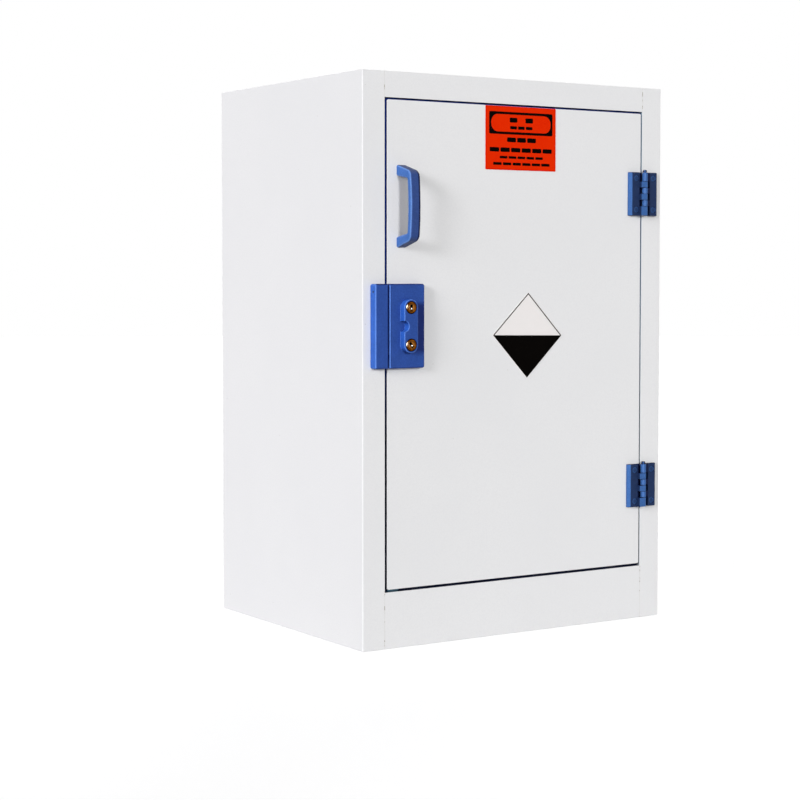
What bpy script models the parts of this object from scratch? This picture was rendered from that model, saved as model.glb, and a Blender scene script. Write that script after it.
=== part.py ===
"""Acid and alkali cabinet: a free-standing box of welded white polypropylene sheet with one hinged door.

Run with blender --background --python part.py, or from Blender's text editor. Lengths are metres.
X runs to the right of somebody facing the door, Y runs into the cabinet and Z runs up.
The origin is the middle of the carcass's footprint, on the underside of the base plate.
"""

import math

import bmesh
import bpy
from mathutils import Matrix, Vector

# Carcass
WIDTH = 0.590
DEPTH = 0.460
HEIGHT = 0.890
SHEET = 0.008
BEND_RADIUS = 0.003
POST_WIDTH = 0.040
TOP_RAIL_HEIGHT = 0.040
BOTTOM_RAIL_HEIGHT = 0.088
SPILL_DEPTH = 0.040

# Fits: the gap that touching pieces keep, how far a cut runs past a face, and how far a union reaches in
JOINT_GAP = 0.0003
OVERRUN = 0.002
LAP = 0.0015

# Door
DOOR_GAP = 0.002
DOOR_SKIN = 0.008
DOOR_CORE = 0.012
DOOR_LINER = 0.005
DOOR_STRIP_WIDTH = 0.040
DOOR_EDGE_RADIUS = 0.0006
SEAL_THICKNESS = 0.0012
SEAL_SETBACK = 0.0006

# Door stops, each an angle behind the frame of the opening
STOP_BACKING = 0.012
STOP_OVERLAP = 0.012
STOP_LIP = 0.008

# Shelf and the two rails that carry it
SHELF_SHEET = 0.005
SHELF_LIP = 0.015
SHELF_CLEARANCE = 0.0015
SHELF_RAIL_WIDTH = 0.012
SHELF_RAIL_HEIGHT = 0.020

# Hinges
HINGE_HEIGHT = 0.072
HINGE_INSET = 0.135
HINGE_AXIS_OUT = 0.0086
LEAF_REACH = 0.0302
LEAF_THICKNESS = 0.0077
LEAF_CHAMFER = 0.0042
LEAF_ROUNDING = 0.0006
DOOR_LEAF_START = 0.0082
FRAME_LEAF_START = 0.0116
WEB_STEP = 0.0004
BARREL_RADIUS = 0.0043
TOP_KNUCKLE = 0.014
BOTTOM_KNUCKLE = 0.0148
MIDDLE_KNUCKLES = 4
KNUCKLE_GAP = 0.0014
KNUCKLE_INSET = 0.0003
PIN_RADIUS = 0.0022
PIN_HEAD_RADIUS = 0.0032
PIN_HEAD_HEIGHT = 0.004
HINGE_SCREW_PITCH = 0.0525
HINGE_SCREW_LENGTH = 0.020
HINGE_SCREW_RADIUS = 0.002
HINGE_SCREW_HEAD_RADIUS = 0.005
HINGE_SCREW_HEAD = 0.0025

# Handle, a moulded D with a bowed grip
HANDLE_HEIGHT = 0.128
HANDLE_WIDTH = 0.0187
HANDLE_INSET = 0.0197
HANDLE_DROP = 0.164
HANDLE_STAND_OFF = 0.041
HANDLE_BOW = 0.0035
HANDLE_INNER_BOW = 0.0015
HANDLE_GRIP = 0.010
HANDLE_LEG = 0.0168
HANDLE_LEG_SLOPE = 0.008
HANDLE_INNER_SLOPE = 0.005
HANDLE_CORNER = 0.009
HANDLE_INNER_CORNER = 0.004
HANDLE_ROUNDING = 0.002
HANDLE_SCREW_RADIUS = 0.0025
HANDLE_SCREW_HEAD_RADIUS = 0.0045
HANDLE_SCREW_HEAD = 0.0035
HANDLE_SCREW_BITE = 0.014

# Lock: a case on the door and a keeper on the post, with two cylinders one above the other
LOCK_DROP = 0.184
LOCK_HEIGHT = 0.130
LOCK_DEPTH = 0.015
LOCK_ROUNDING = 0.0015
CASE_WIDTH = 0.0645
CASE_FACE = 0.003
KEEPER_WIDTH = 0.025
KEEPER_SETBACK = 0.001
LOCK_SEAM = 0.0008
BOSS_WIDTH = 0.025
BOSS_DEPTH = 0.012
BOSS_INSET = 0.0319
BOSS_ROUNDING = 0.0008
NOTCH_RADIUS = 0.0082
CYLINDER_PITCH = 0.0574
CYLINDER_RADIUS = 0.0098
CYLINDER_PROUD = 0.0005
CYLINDER_ROUNDING = 0.0006
NUT_FLATS = 0.024
NUT_THICKNESS = 0.003
PLUG_RADIUS = 0.0062
PLUG_RECESS = 0.0004
KEYWAY_WIDTH = 0.002
KEYWAY_HEIGHT = 0.0085
KEYWAY_DEPTH = 0.008
LOWER_KEYWAY_TURN = math.radians(35)
TENON = 0.005
CAM_LENGTH = 0.043
CAM_WIDTH = 0.012
CAM_THICKNESS = 0.0022
CAM_CLEARANCE = 0.0005
CAM_SPACING = 0.0008
CAM_ROOM = 0.0014
CAM_SCREW_RADIUS = 0.0013
CAM_SCREW_HEAD_RADIUS = 0.0035
CAM_SCREW_HEAD = 0.0017
CAM_SCREW_BITE = 0.006
LOCK_SCREW_RADIUS = 0.0022
LOCK_SCREW_HEAD_RADIUS = 0.004
LOCK_SCREW_HEAD = 0.003
LOCK_SCREW_BITE = 0.008
LOCK_SCREW_PITCH = 0.090
SIDE_SCREW_RADIUS = 0.0015
SIDE_SCREW_LENGTH = 0.006
SIDE_SCREW_DROP = 0.0125

# Plain label plates on the door
LABEL_THICKNESS = 0.0004
PANEL_LABEL_WIDTH = 0.139
PANEL_LABEL_HEIGHT = 0.101
PANEL_LABEL_OFFSET = 0.003
DIAMOND_LABEL_SIDE = 0.0965
DIAMOND_LABEL_OFFSET = 0.0173
DIAMOND_LABEL_RISE = 0.0122

# Facets: sides of a round shape, steps of an arc, and the angles past which an edge is sharp or is rounded
ROUND_SIDES = 28
SMALL_SIDES = 16
NUT_SIDES = 6
ARC_STEPS = 5
BOW_STEPS = 10
ROUNDING_STEPS = 2
SHARP_ANGLE = math.radians(30)
ROUNDED_ANGLE = math.radians(40)

# Planes worked out from the sizes above
FRONT = -DEPTH / 2
BACK = DEPTH / 2
SIDE = WIDTH / 2
INNER_SIDE = SIDE - SHEET
OPENING_SIDE = SIDE - POST_WIDTH
OPENING_TOP = HEIGHT - TOP_RAIL_HEIGHT
OPENING_BOTTOM = BOTTOM_RAIL_HEIGHT
DOOR_SIDE = OPENING_SIDE - DOOR_GAP
DOOR_TOP = OPENING_TOP - DOOR_GAP
DOOR_BOTTOM = OPENING_BOTTOM + DOOR_GAP
DOOR_MIDDLE = (DOOR_BOTTOM + DOOR_TOP) / 2
SKIN_INSET = SEAL_THICKNESS + JOINT_GAP
DOOR_CORE_FRONT = FRONT + DOOR_SKIN
DOOR_LINER_FRONT = DOOR_CORE_FRONT + DOOR_CORE
DOOR_BACK = DOOR_LINER_FRONT + DOOR_LINER
STOP_FRONT = DOOR_BACK + JOINT_GAP
STOP_BACK = STOP_FRONT + STOP_LIP
SHELF_LEVEL = HEIGHT / 2
HANDLE_LEVEL = DOOR_TOP - HANDLE_DROP
LOCK_LEVEL = HANDLE_LEVEL - LOCK_DROP
DIAMOND_LABEL_LEVEL = DOOR_MIDDLE + DIAMOND_LABEL_RISE
HINGE_X = OPENING_SIDE - DOOR_GAP / 2
HINGE_Y = FRONT - HINGE_AXIS_OUT
LEAF_FRONT = FRONT - LEAF_THICKNESS
KEEPER_RIGHT = -OPENING_SIDE - KEEPER_SETBACK
KEEPER_LEFT = KEEPER_RIGHT - KEEPER_WIDTH
CASE_LEFT = KEEPER_RIGHT + LOCK_SEAM
CASE_RIGHT = CASE_LEFT + CASE_WIDTH
LOCK_FRONT = FRONT - LOCK_DEPTH
LOCK_REAR = FRONT - JOINT_GAP
LOCK_X = CASE_LEFT + BOSS_INSET
BOSS_FRONT = LOCK_FRONT - BOSS_DEPTH
NUT_RADIUS = NUT_FLATS / 2 / math.cos(math.pi / NUT_SIDES)
NUT_FRONT = LOCK_FRONT + CASE_FACE + JOINT_GAP
CYLINDER_REAR = NUT_FRONT + NUT_THICKNESS
CAM_ROOM_SIDE = LOCK_X + NUT_RADIUS + CAM_ROOM
CAM_ROOM_HALF = CYLINDER_PITCH / 2 + NUT_RADIUS + CAM_ROOM
KEEPER_ROOM_HALF = CYLINDER_PITCH / 2 + CAM_WIDTH / 2 + CAM_ROOM
KEEPER_ROOM_SIDE = LOCK_X - CAM_LENGTH - CAM_ROOM


def clear_scene():
    for old in list(bpy.data.objects):
        bpy.data.objects.remove(old, do_unlink=True)


def principled(name, color, roughness, metallic=0.0):
    material = bpy.data.materials.new(name)
    material.use_nodes = True
    shader = material.node_tree.nodes["Principled BSDF"]
    shader.inputs["Base Color"].default_value = (*color, 1.0)
    shader.inputs["Roughness"].default_value = roughness
    shader.inputs["Metallic"].default_value = metallic
    material.diffuse_color = (*color, 1.0)
    return material


def pivot(name, location=(0, 0, 0)):
    """An empty that carries the pieces of one rigid body, on its joint's axis."""
    empty = bpy.data.objects.new(name, None)
    empty.location = location
    bpy.context.collection.objects.link(empty)
    return empty


# Shapes: each call returns a function that adds one closed solid to a bmesh, in world coordinates


def box(low, high):
    def add(bm):
        low_corner = Vector(low)
        high_corner = Vector(high)
        place = Matrix.Translation((low_corner + high_corner) / 2)
        stretch = Matrix.Diagonal((*(high_corner - low_corner), 1))
        bmesh.ops.create_cube(bm, size=1, matrix=place @ stretch)

    return add


def rod(start, end, radius, sides=ROUND_SIDES):
    """A round bar, turned half a facet so that it shows a flat, not a corner, straight up and sideways."""

    def add(bm):
        first = Vector(start)
        along = Vector(end) - first
        aim = along.to_track_quat("Z", "Y").to_matrix().to_4x4()
        half_facet = Matrix.Rotation(math.pi / sides, 4, "Z")
        place = Matrix.Translation(first + along / 2) @ aim @ half_facet
        bmesh.ops.create_cone(
            bm,
            cap_ends=True,
            segments=sides,
            radius1=radius,
            radius2=radius,
            depth=along.length,
            matrix=place,
        )

    return add


def prism(outline, axis, low, high):
    """A flat outline, given in the other two axes in X, Y, Z order, extruded along one axis."""

    def corner(point):
        values = list(point)
        values.insert("XYZ".index(axis), low)
        return values

    def add(bm):
        rim = [bm.verts.new(corner(point)) for point in outline]
        face = bm.faces.new(rim)
        swept = bmesh.ops.extrude_face_region(bm, geom=[face])
        shift = Vector((0, 0, 0))
        shift["XYZ".index(axis)] = high - low
        moved = [item for item in swept["geom"] if isinstance(item, bmesh.types.BMVert)]
        bmesh.ops.translate(bm, verts=moved, vec=shift)

    return add


def arc(centre, radius, start, end, steps=ARC_STEPS):
    """Points of a round stretch, from one angle to another in degrees."""
    points = []
    for step in range(steps + 1):
        angle = math.radians(start + (end - start) * step / steps)
        points.append((centre[0] + radius * math.cos(angle), centre[1] + radius * math.sin(angle)))
    return points


def mesh_object(name, shape, carrier):
    bm = bmesh.new()
    shape(bm)
    bmesh.ops.recalc_face_normals(bm, faces=bm.faces)
    bmesh.ops.translate(bm, verts=bm.verts, vec=-carrier.location)
    mesh = bpy.data.meshes.new(name)
    bm.to_mesh(mesh)
    bm.free()
    obj = bpy.data.objects.new(name, mesh)
    bpy.context.collection.objects.link(obj)
    obj.parent = carrier
    return obj


def add_boolean(obj, operation, shape, index):
    helper = mesh_object(f"{obj.name}_{operation.lower()}_{index}", shape, obj.parent)
    helper.hide_render = True
    helper.display_type = "WIRE"
    modifier = obj.modifiers.new(f"{operation} {index}", "BOOLEAN")
    modifier.operation = operation
    modifier.object = helper
    modifier.solver = "EXACT"


def piece(name, material, carrier, shape, rounding=0, joined=(), removed=()):
    """One named solid: a shape with its edges rounded, with others joined to it and cut out of it."""
    obj = mesh_object(name, shape, carrier)
    obj.data.materials.append(material)
    obj.data.shade_smooth()
    obj.data.set_sharp_from_angle(angle=SHARP_ANGLE)
    if rounding:
        bevel = obj.modifiers.new("Rounded edges", "BEVEL")
        bevel.width = rounding
        bevel.segments = ROUNDING_STEPS
        bevel.limit_method = "ANGLE"
        bevel.angle_limit = ROUNDED_ANGLE
    for index, extra in enumerate(joined):
        add_boolean(obj, "UNION", extra, index)
    for index, hollow in enumerate(removed):
        add_boolean(obj, "DIFFERENCE", hollow, index)
    return obj


def headed_screw(name, material, carrier, head_start, head_end, tip, head_radius, radius):
    """A screw along Y: its head from head_start to head_end, and its shank from there to tip."""
    toward = math.copysign(LAP, head_start[1] - head_end[1])
    inside_head = (head_end[0], head_end[1] + toward, head_end[2])
    return piece(
        name,
        material,
        carrier,
        rod(head_start, head_end, head_radius, SMALL_SIDES),
        joined=[rod(inside_head, tip, radius, SMALL_SIDES)],
    )


# Carcass


def side_panel_outline(side):
    """The side wall and its front return as one bent sheet, seen from above."""
    corner = arc((-SIDE + BEND_RADIUS, FRONT + BEND_RADIUS), BEND_RADIUS, 180, 270)
    left = [
        (-SIDE, BACK),
        *corner,
        (-OPENING_SIDE, FRONT),
        (-OPENING_SIDE, FRONT + SHEET),
        (-INNER_SIDE, FRONT + SHEET),
        (-INNER_SIDE, BACK),
    ]
    return [(-side * x, y) for x, y in left]


def make_side_panels(white, cabinet):
    keeper_holes = []
    for point in lock_screw_places(keeper_screw_x()):
        keeper_holes.append(
            rod(
                (point[0], FRONT - OVERRUN, point[1]),
                (point[0], FRONT + SHEET + OVERRUN, point[1]),
                LOCK_SCREW_RADIUS + JOINT_GAP,
                SMALL_SIDES,
            )
        )
    hinge_holes = []
    for level in hinge_levels():
        for point in hinge_screw_places(level, 1):
            hinge_holes.append(hinge_screw_hole(point))
    for name, side, holes in (
        ("side_panel_left", -1, keeper_holes),
        ("side_panel_right", 1, hinge_holes),
    ):
        outline = side_panel_outline(side)
        piece(name, white, cabinet, prism(outline, "Z", 0, HEIGHT), removed=holes)


def make_carcass(white, cabinet):
    inner = INNER_SIDE - JOINT_GAP
    front = FRONT + SHEET + JOINT_GAP
    back = BACK - SHEET - JOINT_GAP
    rail = OPENING_SIDE - JOINT_GAP
    spill_floor = BOTTOM_RAIL_HEIGHT - SPILL_DEPTH
    plates = {
        "base_plate": ((-inner, front, 0), (inner, back, SHEET)),
        "back_panel": ((-inner, BACK - SHEET, 0), (inner, BACK, HEIGHT)),
        "top_panel": ((-inner, front, HEIGHT - SHEET), (inner, back, HEIGHT)),
        "top_front_rail": ((-rail, FRONT, OPENING_TOP), (rail, FRONT + SHEET, HEIGHT)),
        "bottom_front_rail": ((-rail, FRONT, 0), (rail, FRONT + SHEET, BOTTOM_RAIL_HEIGHT)),
        "spill_tray_floor": ((-inner, front, spill_floor - SHEET), (inner, back, spill_floor)),
    }
    for name, (low, high) in plates.items():
        piece(name, white, cabinet, box(low, high))


def stop_outline(edge, out):
    """An angle behind the opening's edge: out is 1 where the frame lies on the plus side of that edge."""
    backing = FRONT + SHEET + JOINT_GAP
    return [
        (edge, backing),
        (edge + out * STOP_BACKING, backing),
        (edge + out * STOP_BACKING, STOP_BACK),
        (edge - out * (STOP_OVERLAP + DOOR_GAP), STOP_BACK),
        (edge - out * (STOP_OVERLAP + DOOR_GAP), STOP_FRONT),
        (edge, STOP_FRONT),
    ]


def make_door_stops(blue, cabinet):
    low = OPENING_BOTTOM - STOP_BACKING
    high = OPENING_TOP + STOP_BACKING
    reach = OPENING_SIDE - DOOR_GAP - STOP_OVERLAP - JOINT_GAP
    for name, out in (("door_stop_left", -1), ("door_stop_right", 1)):
        outline = stop_outline(out * OPENING_SIDE, out)
        piece(name, blue, cabinet, prism(outline, "Z", low, high))
    for name, edge, out in (
        ("door_stop_top", OPENING_TOP, 1),
        ("door_stop_bottom", OPENING_BOTTOM, -1),
    ):
        outline = [(y, z) for z, y in stop_outline(edge, out)]
        piece(name, blue, cabinet, prism(outline, "X", -reach, reach))


def make_shelf(white, cabinet, shelf):
    front = STOP_BACK + SHELF_CLEARANCE
    back = BACK - SHEET - SHELF_CLEARANCE
    side = INNER_SIDE - SHELF_CLEARANCE
    base = SHELF_LEVEL + JOINT_GAP
    floor = base + SHELF_SHEET
    hollow = box(
        (-side + SHELF_SHEET, front + SHELF_SHEET, floor),
        (side - SHELF_SHEET, back - SHELF_SHEET, floor + SHELF_LIP + OVERRUN),
    )
    body = box((-side, front, base), (side, back, floor + SHELF_LIP))
    piece("shelf", white, shelf, body, removed=[hollow])
    inner = INNER_SIDE - JOINT_GAP
    for name, side in (("shelf_rail_left", -1), ("shelf_rail_right", 1)):
        ends = sorted((side * inner, side * (inner - SHELF_RAIL_WIDTH)))
        low = (ends[0], front, SHELF_LEVEL - SHELF_RAIL_HEIGHT)
        high = (ends[1], back, SHELF_LEVEL)
        piece(name, white, cabinet, box(low, high))


# Hinges


def hinge_levels():
    return DOOR_TOP - HINGE_INSET, DOOR_BOTTOM + HINGE_INSET


def leaf_start(side):
    return FRAME_LEAF_START if side > 0 else DOOR_LEAF_START


def hinge_screw_places(level, side):
    """Where a leaf's two screws stand, in X and Z: side is 1 on the frame's leaf and -1 on the door's."""
    x = HINGE_X + side * (leaf_start(side) + LEAF_REACH - LEAF_CHAMFER) / 2
    return [(x, level + HINGE_SCREW_PITCH / 2), (x, level - HINGE_SCREW_PITCH / 2)]


def hinge_screw_tip():
    return LEAF_FRONT + JOINT_GAP + HINGE_SCREW_LENGTH


def hinge_screw_hole(point):
    radius = HINGE_SCREW_RADIUS + JOINT_GAP
    start = (point[0], LEAF_FRONT - OVERRUN, point[1])
    end = (point[0], hinge_screw_tip() + JOINT_GAP, point[1])
    return rod(start, end, radius, SMALL_SIDES)


def knuckle_spans(level):
    """The six knuckles from the top down, as spans in Z: the frame's and the door's take turns."""
    spare = HINGE_HEIGHT - 2 * KNUCKLE_INSET - TOP_KNUCKLE - BOTTOM_KNUCKLE
    middle = (spare - (MIDDLE_KNUCKLES + 1) * KNUCKLE_GAP) / MIDDLE_KNUCKLES
    heights = [TOP_KNUCKLE, *[middle] * MIDDLE_KNUCKLES, BOTTOM_KNUCKLE]
    top = level + HINGE_HEIGHT / 2 - KNUCKLE_INSET
    spans = []
    for height in heights:
        spans.append((top - height, top))
        top -= height + KNUCKLE_GAP
    return spans


def knuckle_outline(side):
    """A barrel with the web that ties it to its leaf. The door's webs are as proud as the barrel."""
    web_front = LEAF_FRONT + WEB_STEP if side > 0 else HINGE_Y - BARREL_RADIUS
    rise = max(-1, min(1, (web_front - HINGE_Y) / BARREL_RADIUS))
    root = leaf_start(side) + LAP
    round_part = arc((0, HINGE_Y), BARREL_RADIUS, math.degrees(math.asin(rise)), -270, SMALL_SIDES)
    shape = [(root, web_front), *round_part, (root, HINGE_Y + BARREL_RADIUS)]
    return [(HINGE_X + side * x, y) for x, y in shape]


def make_leaf(name, material, carrier, level, side):
    low = level - HINGE_HEIGHT / 2
    high = level + HINGE_HEIGHT / 2
    rear = FRONT - JOINT_GAP
    profile = [
        (leaf_start(side), rear),
        (leaf_start(side), LEAF_FRONT),
        (LEAF_REACH - LEAF_CHAMFER, LEAF_FRONT),
        (LEAF_REACH, LEAF_FRONT + LEAF_CHAMFER),
        (LEAF_REACH, rear),
    ]
    plate = [(HINGE_X + side * x, y) for x, y in profile]
    own = knuckle_spans(level)[0 if side > 0 else 1 :: 2]
    knuckles = [prism(knuckle_outline(side), "Z", bottom, top) for bottom, top in own]
    bore = rod(
        (HINGE_X, HINGE_Y, low - OVERRUN),
        (HINGE_X, HINGE_Y, high + OVERRUN),
        PIN_RADIUS + JOINT_GAP,
        SMALL_SIDES,
    )
    holes = [bore]
    for x, z in hinge_screw_places(level, side):
        recess_end = LEAF_FRONT + JOINT_GAP + HINGE_SCREW_HEAD + JOINT_GAP
        holes.append(hinge_screw_hole((x, z)))
        holes.append(
            rod(
                (x, LEAF_FRONT - OVERRUN, z),
                (x, recess_end, z),
                HINGE_SCREW_HEAD_RADIUS + JOINT_GAP,
                SMALL_SIDES,
            )
        )
    shape = prism(plate, "Z", low, high)
    return piece(name, material, carrier, shape, LEAF_ROUNDING, joined=knuckles, removed=holes)


def make_hinges(blue, cabinet, door):
    for place, level in zip(("upper", "lower"), hinge_levels()):
        make_leaf(f"hinge_frame_leaf_{place}", blue, cabinet, level, 1)
        make_leaf(f"hinge_door_leaf_{place}", blue, door, level, -1)
        bottom = level - HINGE_HEIGHT / 2
        seat = level + HINGE_HEIGHT / 2 + JOINT_GAP
        piece(
            f"hinge_pin_{place}",
            blue,
            cabinet,
            rod((HINGE_X, HINGE_Y, seat), (HINGE_X, HINGE_Y, seat + PIN_HEAD_HEIGHT), PIN_HEAD_RADIUS),
            joined=[
                rod((HINGE_X, HINGE_Y, bottom), (HINGE_X, HINGE_Y, seat + LAP), PIN_RADIUS, SMALL_SIDES)
            ],
        )
        for body, carrier, side in (("frame", cabinet, 1), ("door", door, -1)):
            for row, (x, z) in zip(("top", "bottom"), hinge_screw_places(level, side)):
                head = LEAF_FRONT + JOINT_GAP
                headed_screw(
                    f"hinge_screw_{body}_{place}_{row}",
                    blue,
                    carrier,
                    (x, head, z),
                    (x, head + HINGE_SCREW_HEAD, z),
                    (x, hinge_screw_tip(), z),
                    HINGE_SCREW_HEAD_RADIUS,
                    HINGE_SCREW_RADIUS,
                )


# Door


def handle_x():
    return -DOOR_SIDE + HANDLE_INSET + HANDLE_WIDTH / 2


def handle_screw_levels():
    spread = (HANDLE_HEIGHT - HANDLE_LEG) / 2
    return HANDLE_LEVEL + spread, HANDLE_LEVEL - spread


def handle_screw_head_front():
    """The front of the screws' heads, sunk in the strip so that the liner covers them."""
    return DOOR_LINER_FRONT - JOINT_GAP - HANDLE_SCREW_HEAD - JOINT_GAP


def handle_screw_hole(level, start, end, radius):
    x = handle_x()
    return rod((x, start, level), (x, end, level), radius + JOINT_GAP, SMALL_SIDES)


def make_seal(blue, door):
    """A thin strip round the outer skin's edge, in the gap between the door and its frame."""
    ring = box((-DOOR_SIDE, FRONT + SEAL_SETBACK, DOOR_BOTTOM), (DOOR_SIDE, DOOR_CORE_FRONT, DOOR_TOP))
    inner_side = DOOR_SIDE - SEAL_THICKNESS
    inside = box(
        (-inner_side, FRONT - OVERRUN, DOOR_BOTTOM + SEAL_THICKNESS),
        (inner_side, DOOR_CORE_FRONT + OVERRUN, DOOR_TOP - SEAL_THICKNESS),
    )
    piece("door_edge_seal", blue, door, ring, removed=[inside])


def make_door(white, door):
    skin_holes = []
    strip_holes = {"left": [], "right": []}
    for level in handle_screw_levels():
        skin_end = DOOR_CORE_FRONT + OVERRUN
        hole_end = DOOR_LINER_FRONT + OVERRUN
        recess = handle_screw_head_front() - JOINT_GAP
        skin_holes.append(handle_screw_hole(level, FRONT - OVERRUN, skin_end, HANDLE_SCREW_RADIUS))
        strip_holes["left"] += [
            handle_screw_hole(level, DOOR_CORE_FRONT - OVERRUN, hole_end, HANDLE_SCREW_RADIUS),
            handle_screw_hole(level, recess, hole_end, HANDLE_SCREW_HEAD_RADIUS),
        ]
    for x, z in lock_screw_places(case_screw_x()):
        skin_holes.append(
            rod(
                (x, FRONT - OVERRUN, z),
                (x, DOOR_CORE_FRONT + OVERRUN, z),
                LOCK_SCREW_RADIUS + JOINT_GAP,
                SMALL_SIDES,
            )
        )
    for level in hinge_levels():
        for point in hinge_screw_places(level, -1):
            skin_holes.append(hinge_screw_hole(point))
            strip_holes["right"].append(hinge_screw_hole(point))
    skin = box(
        (-DOOR_SIDE + SKIN_INSET, FRONT, DOOR_BOTTOM + SKIN_INSET),
        (DOOR_SIDE - SKIN_INSET, DOOR_CORE_FRONT, DOOR_TOP - SKIN_INSET),
    )
    piece("door_outer_skin", white, door, skin, DOOR_EDGE_RADIUS, removed=skin_holes)
    liner = box((-DOOR_SIDE, DOOR_LINER_FRONT, DOOR_BOTTOM), (DOOR_SIDE, DOOR_BACK, DOOR_TOP))
    piece("door_inner_skin", white, door, liner, DOOR_EDGE_RADIUS)
    front = DOOR_CORE_FRONT + JOINT_GAP
    back = DOOR_LINER_FRONT - JOINT_GAP
    inner = DOOR_SIDE - DOOR_STRIP_WIDTH
    for name, ends in (("left", (-DOOR_SIDE, -inner)), ("right", (inner, DOOR_SIDE))):
        strip = box((ends[0], front, DOOR_BOTTOM), (ends[1], back, DOOR_TOP))
        piece(f"door_frame_{name}", white, door, strip, removed=strip_holes[name])
    across = inner - JOINT_GAP
    for name, ends in (
        ("bottom", (DOOR_BOTTOM, DOOR_BOTTOM + DOOR_STRIP_WIDTH)),
        ("top", (DOOR_TOP - DOOR_STRIP_WIDTH, DOOR_TOP)),
    ):
        strip = box((-across, front, ends[0]), (across, back, ends[1]))
        piece(f"door_frame_{name}", white, door, strip)


def handle_outline():
    """The handle's side view in Y and Z: sloping legs, round corners, and a front that bows outwards."""
    half = HANDLE_HEIGHT / 2
    end_out = HANDLE_STAND_OFF - HANDLE_BOW
    outer_leg = end_out - HANDLE_CORNER
    outer_half = half - HANDLE_LEG_SLOPE
    inner_end = HANDLE_STAND_OFF - HANDLE_GRIP - HANDLE_INNER_BOW
    inner_half = half - HANDLE_LEG - HANDLE_INNER_SLOPE

    def bowed(base, bow, span):
        points = []
        for step in range(BOW_STEPS + 1):
            share = 2 * step / BOW_STEPS - 1
            points.append((base + bow * (1 - share * share), -share * span))
        return points

    outer_corner = arc((outer_leg, outer_half - HANDLE_CORNER), HANDLE_CORNER, 90, 0)
    inner_corner = arc(
        (inner_end - HANDLE_INNER_CORNER, inner_half - HANDLE_INNER_CORNER), HANDLE_INNER_CORNER, 0, 90
    )
    outer = bowed(end_out, HANDLE_BOW, outer_half - HANDLE_CORNER)[1:-1]
    inner = bowed(inner_end, HANDLE_INNER_BOW, inner_half - HANDLE_INNER_CORNER)[1:-1]
    top = [(JOINT_GAP, half), *outer_corner]
    inner_top = [*inner_corner, (JOINT_GAP, half - HANDLE_LEG)]
    bottom = [(out, -up) for out, up in reversed(top)]
    inner_bottom = [(out, -up) for out, up in reversed(inner_top)]
    profile = [*top, *outer, *bottom, *inner_bottom, *reversed(inner), *inner_top]
    return [(FRONT - out, HANDLE_LEVEL + up) for out, up in profile]


def make_handle(blue, steel, door):
    holes = []
    for level in handle_screw_levels():
        bite = FRONT - HANDLE_SCREW_BITE - JOINT_GAP
        holes.append(handle_screw_hole(level, bite, FRONT + OVERRUN, HANDLE_SCREW_RADIUS))
    left = handle_x() - HANDLE_WIDTH / 2
    shape = prism(handle_outline(), "X", left, left + HANDLE_WIDTH)
    piece("handle", blue, door, shape, HANDLE_ROUNDING, removed=holes)
    for name, level in zip(("upper", "lower"), handle_screw_levels()):
        head = handle_screw_head_front()
        headed_screw(
            f"handle_screw_{name}",
            steel,
            door,
            (handle_x(), head + HANDLE_SCREW_HEAD, level),
            (handle_x(), head, level),
            (handle_x(), FRONT - HANDLE_SCREW_BITE, level),
            HANDLE_SCREW_HEAD_RADIUS,
            HANDLE_SCREW_RADIUS,
        )


# Lock


def case_screw_x():
    return (CAM_ROOM_SIDE + CASE_RIGHT) / 2


def keeper_screw_x():
    return (KEEPER_LEFT + KEEPER_ROOM_SIDE) / 2


def lock_screw_places(x):
    return [(x, LOCK_LEVEL + LOCK_SCREW_PITCH / 2), (x, LOCK_LEVEL - LOCK_SCREW_PITCH / 2)]


def lock_screw_bite(x, z):
    """The hole for a screw that comes from behind, in the case or in the keeper."""
    return rod(
        (x, FRONT - LOCK_SCREW_BITE - JOINT_GAP, z),
        (x, FRONT + OVERRUN, z),
        LOCK_SCREW_RADIUS + JOINT_GAP,
        SMALL_SIDES,
    )


def boss_outline():
    """A capsule round both cylinders, with a half-round notch in its left side."""
    half = CYLINDER_PITCH / 2
    radius = BOSS_WIDTH / 2
    left = LOCK_X - radius
    return [
        *arc((LOCK_X, LOCK_LEVEL + half), radius, 0, 180, SMALL_SIDES // 2),
        *arc((left, LOCK_LEVEL), NOTCH_RADIUS, 90, -90, SMALL_SIDES // 2),
        *arc((LOCK_X, LOCK_LEVEL - half), radius, 180, 360, SMALL_SIDES // 2),
    ]


def cylinder_levels():
    return LOCK_LEVEL + CYLINDER_PITCH / 2, LOCK_LEVEL - CYLINDER_PITCH / 2


def make_case(blue, door):
    low = LOCK_LEVEL - LOCK_HEIGHT / 2
    high = LOCK_LEVEL + LOCK_HEIGHT / 2
    cam_room = box(
        (CASE_LEFT - OVERRUN, LOCK_FRONT + CASE_FACE, LOCK_LEVEL - CAM_ROOM_HALF),
        (CAM_ROOM_SIDE, FRONT + OVERRUN, LOCK_LEVEL + CAM_ROOM_HALF),
    )
    bores = []
    for level in cylinder_levels():
        bores.append(
            rod(
                (LOCK_X, BOSS_FRONT - OVERRUN, level),
                (LOCK_X, FRONT + OVERRUN, level),
                CYLINDER_RADIUS + JOINT_GAP,
            )
        )
    screws = [lock_screw_bite(x, z) for x, z in lock_screw_places(case_screw_x())]
    block = box((CASE_LEFT, LOCK_FRONT, low), (CASE_RIGHT, LOCK_REAR, high))
    boss = prism(boss_outline(), "Y", BOSS_FRONT, LOCK_FRONT + LAP)
    piece("lock_case", blue, door, block, LOCK_ROUNDING, [boss], [cam_room, *bores, *screws])


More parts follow.
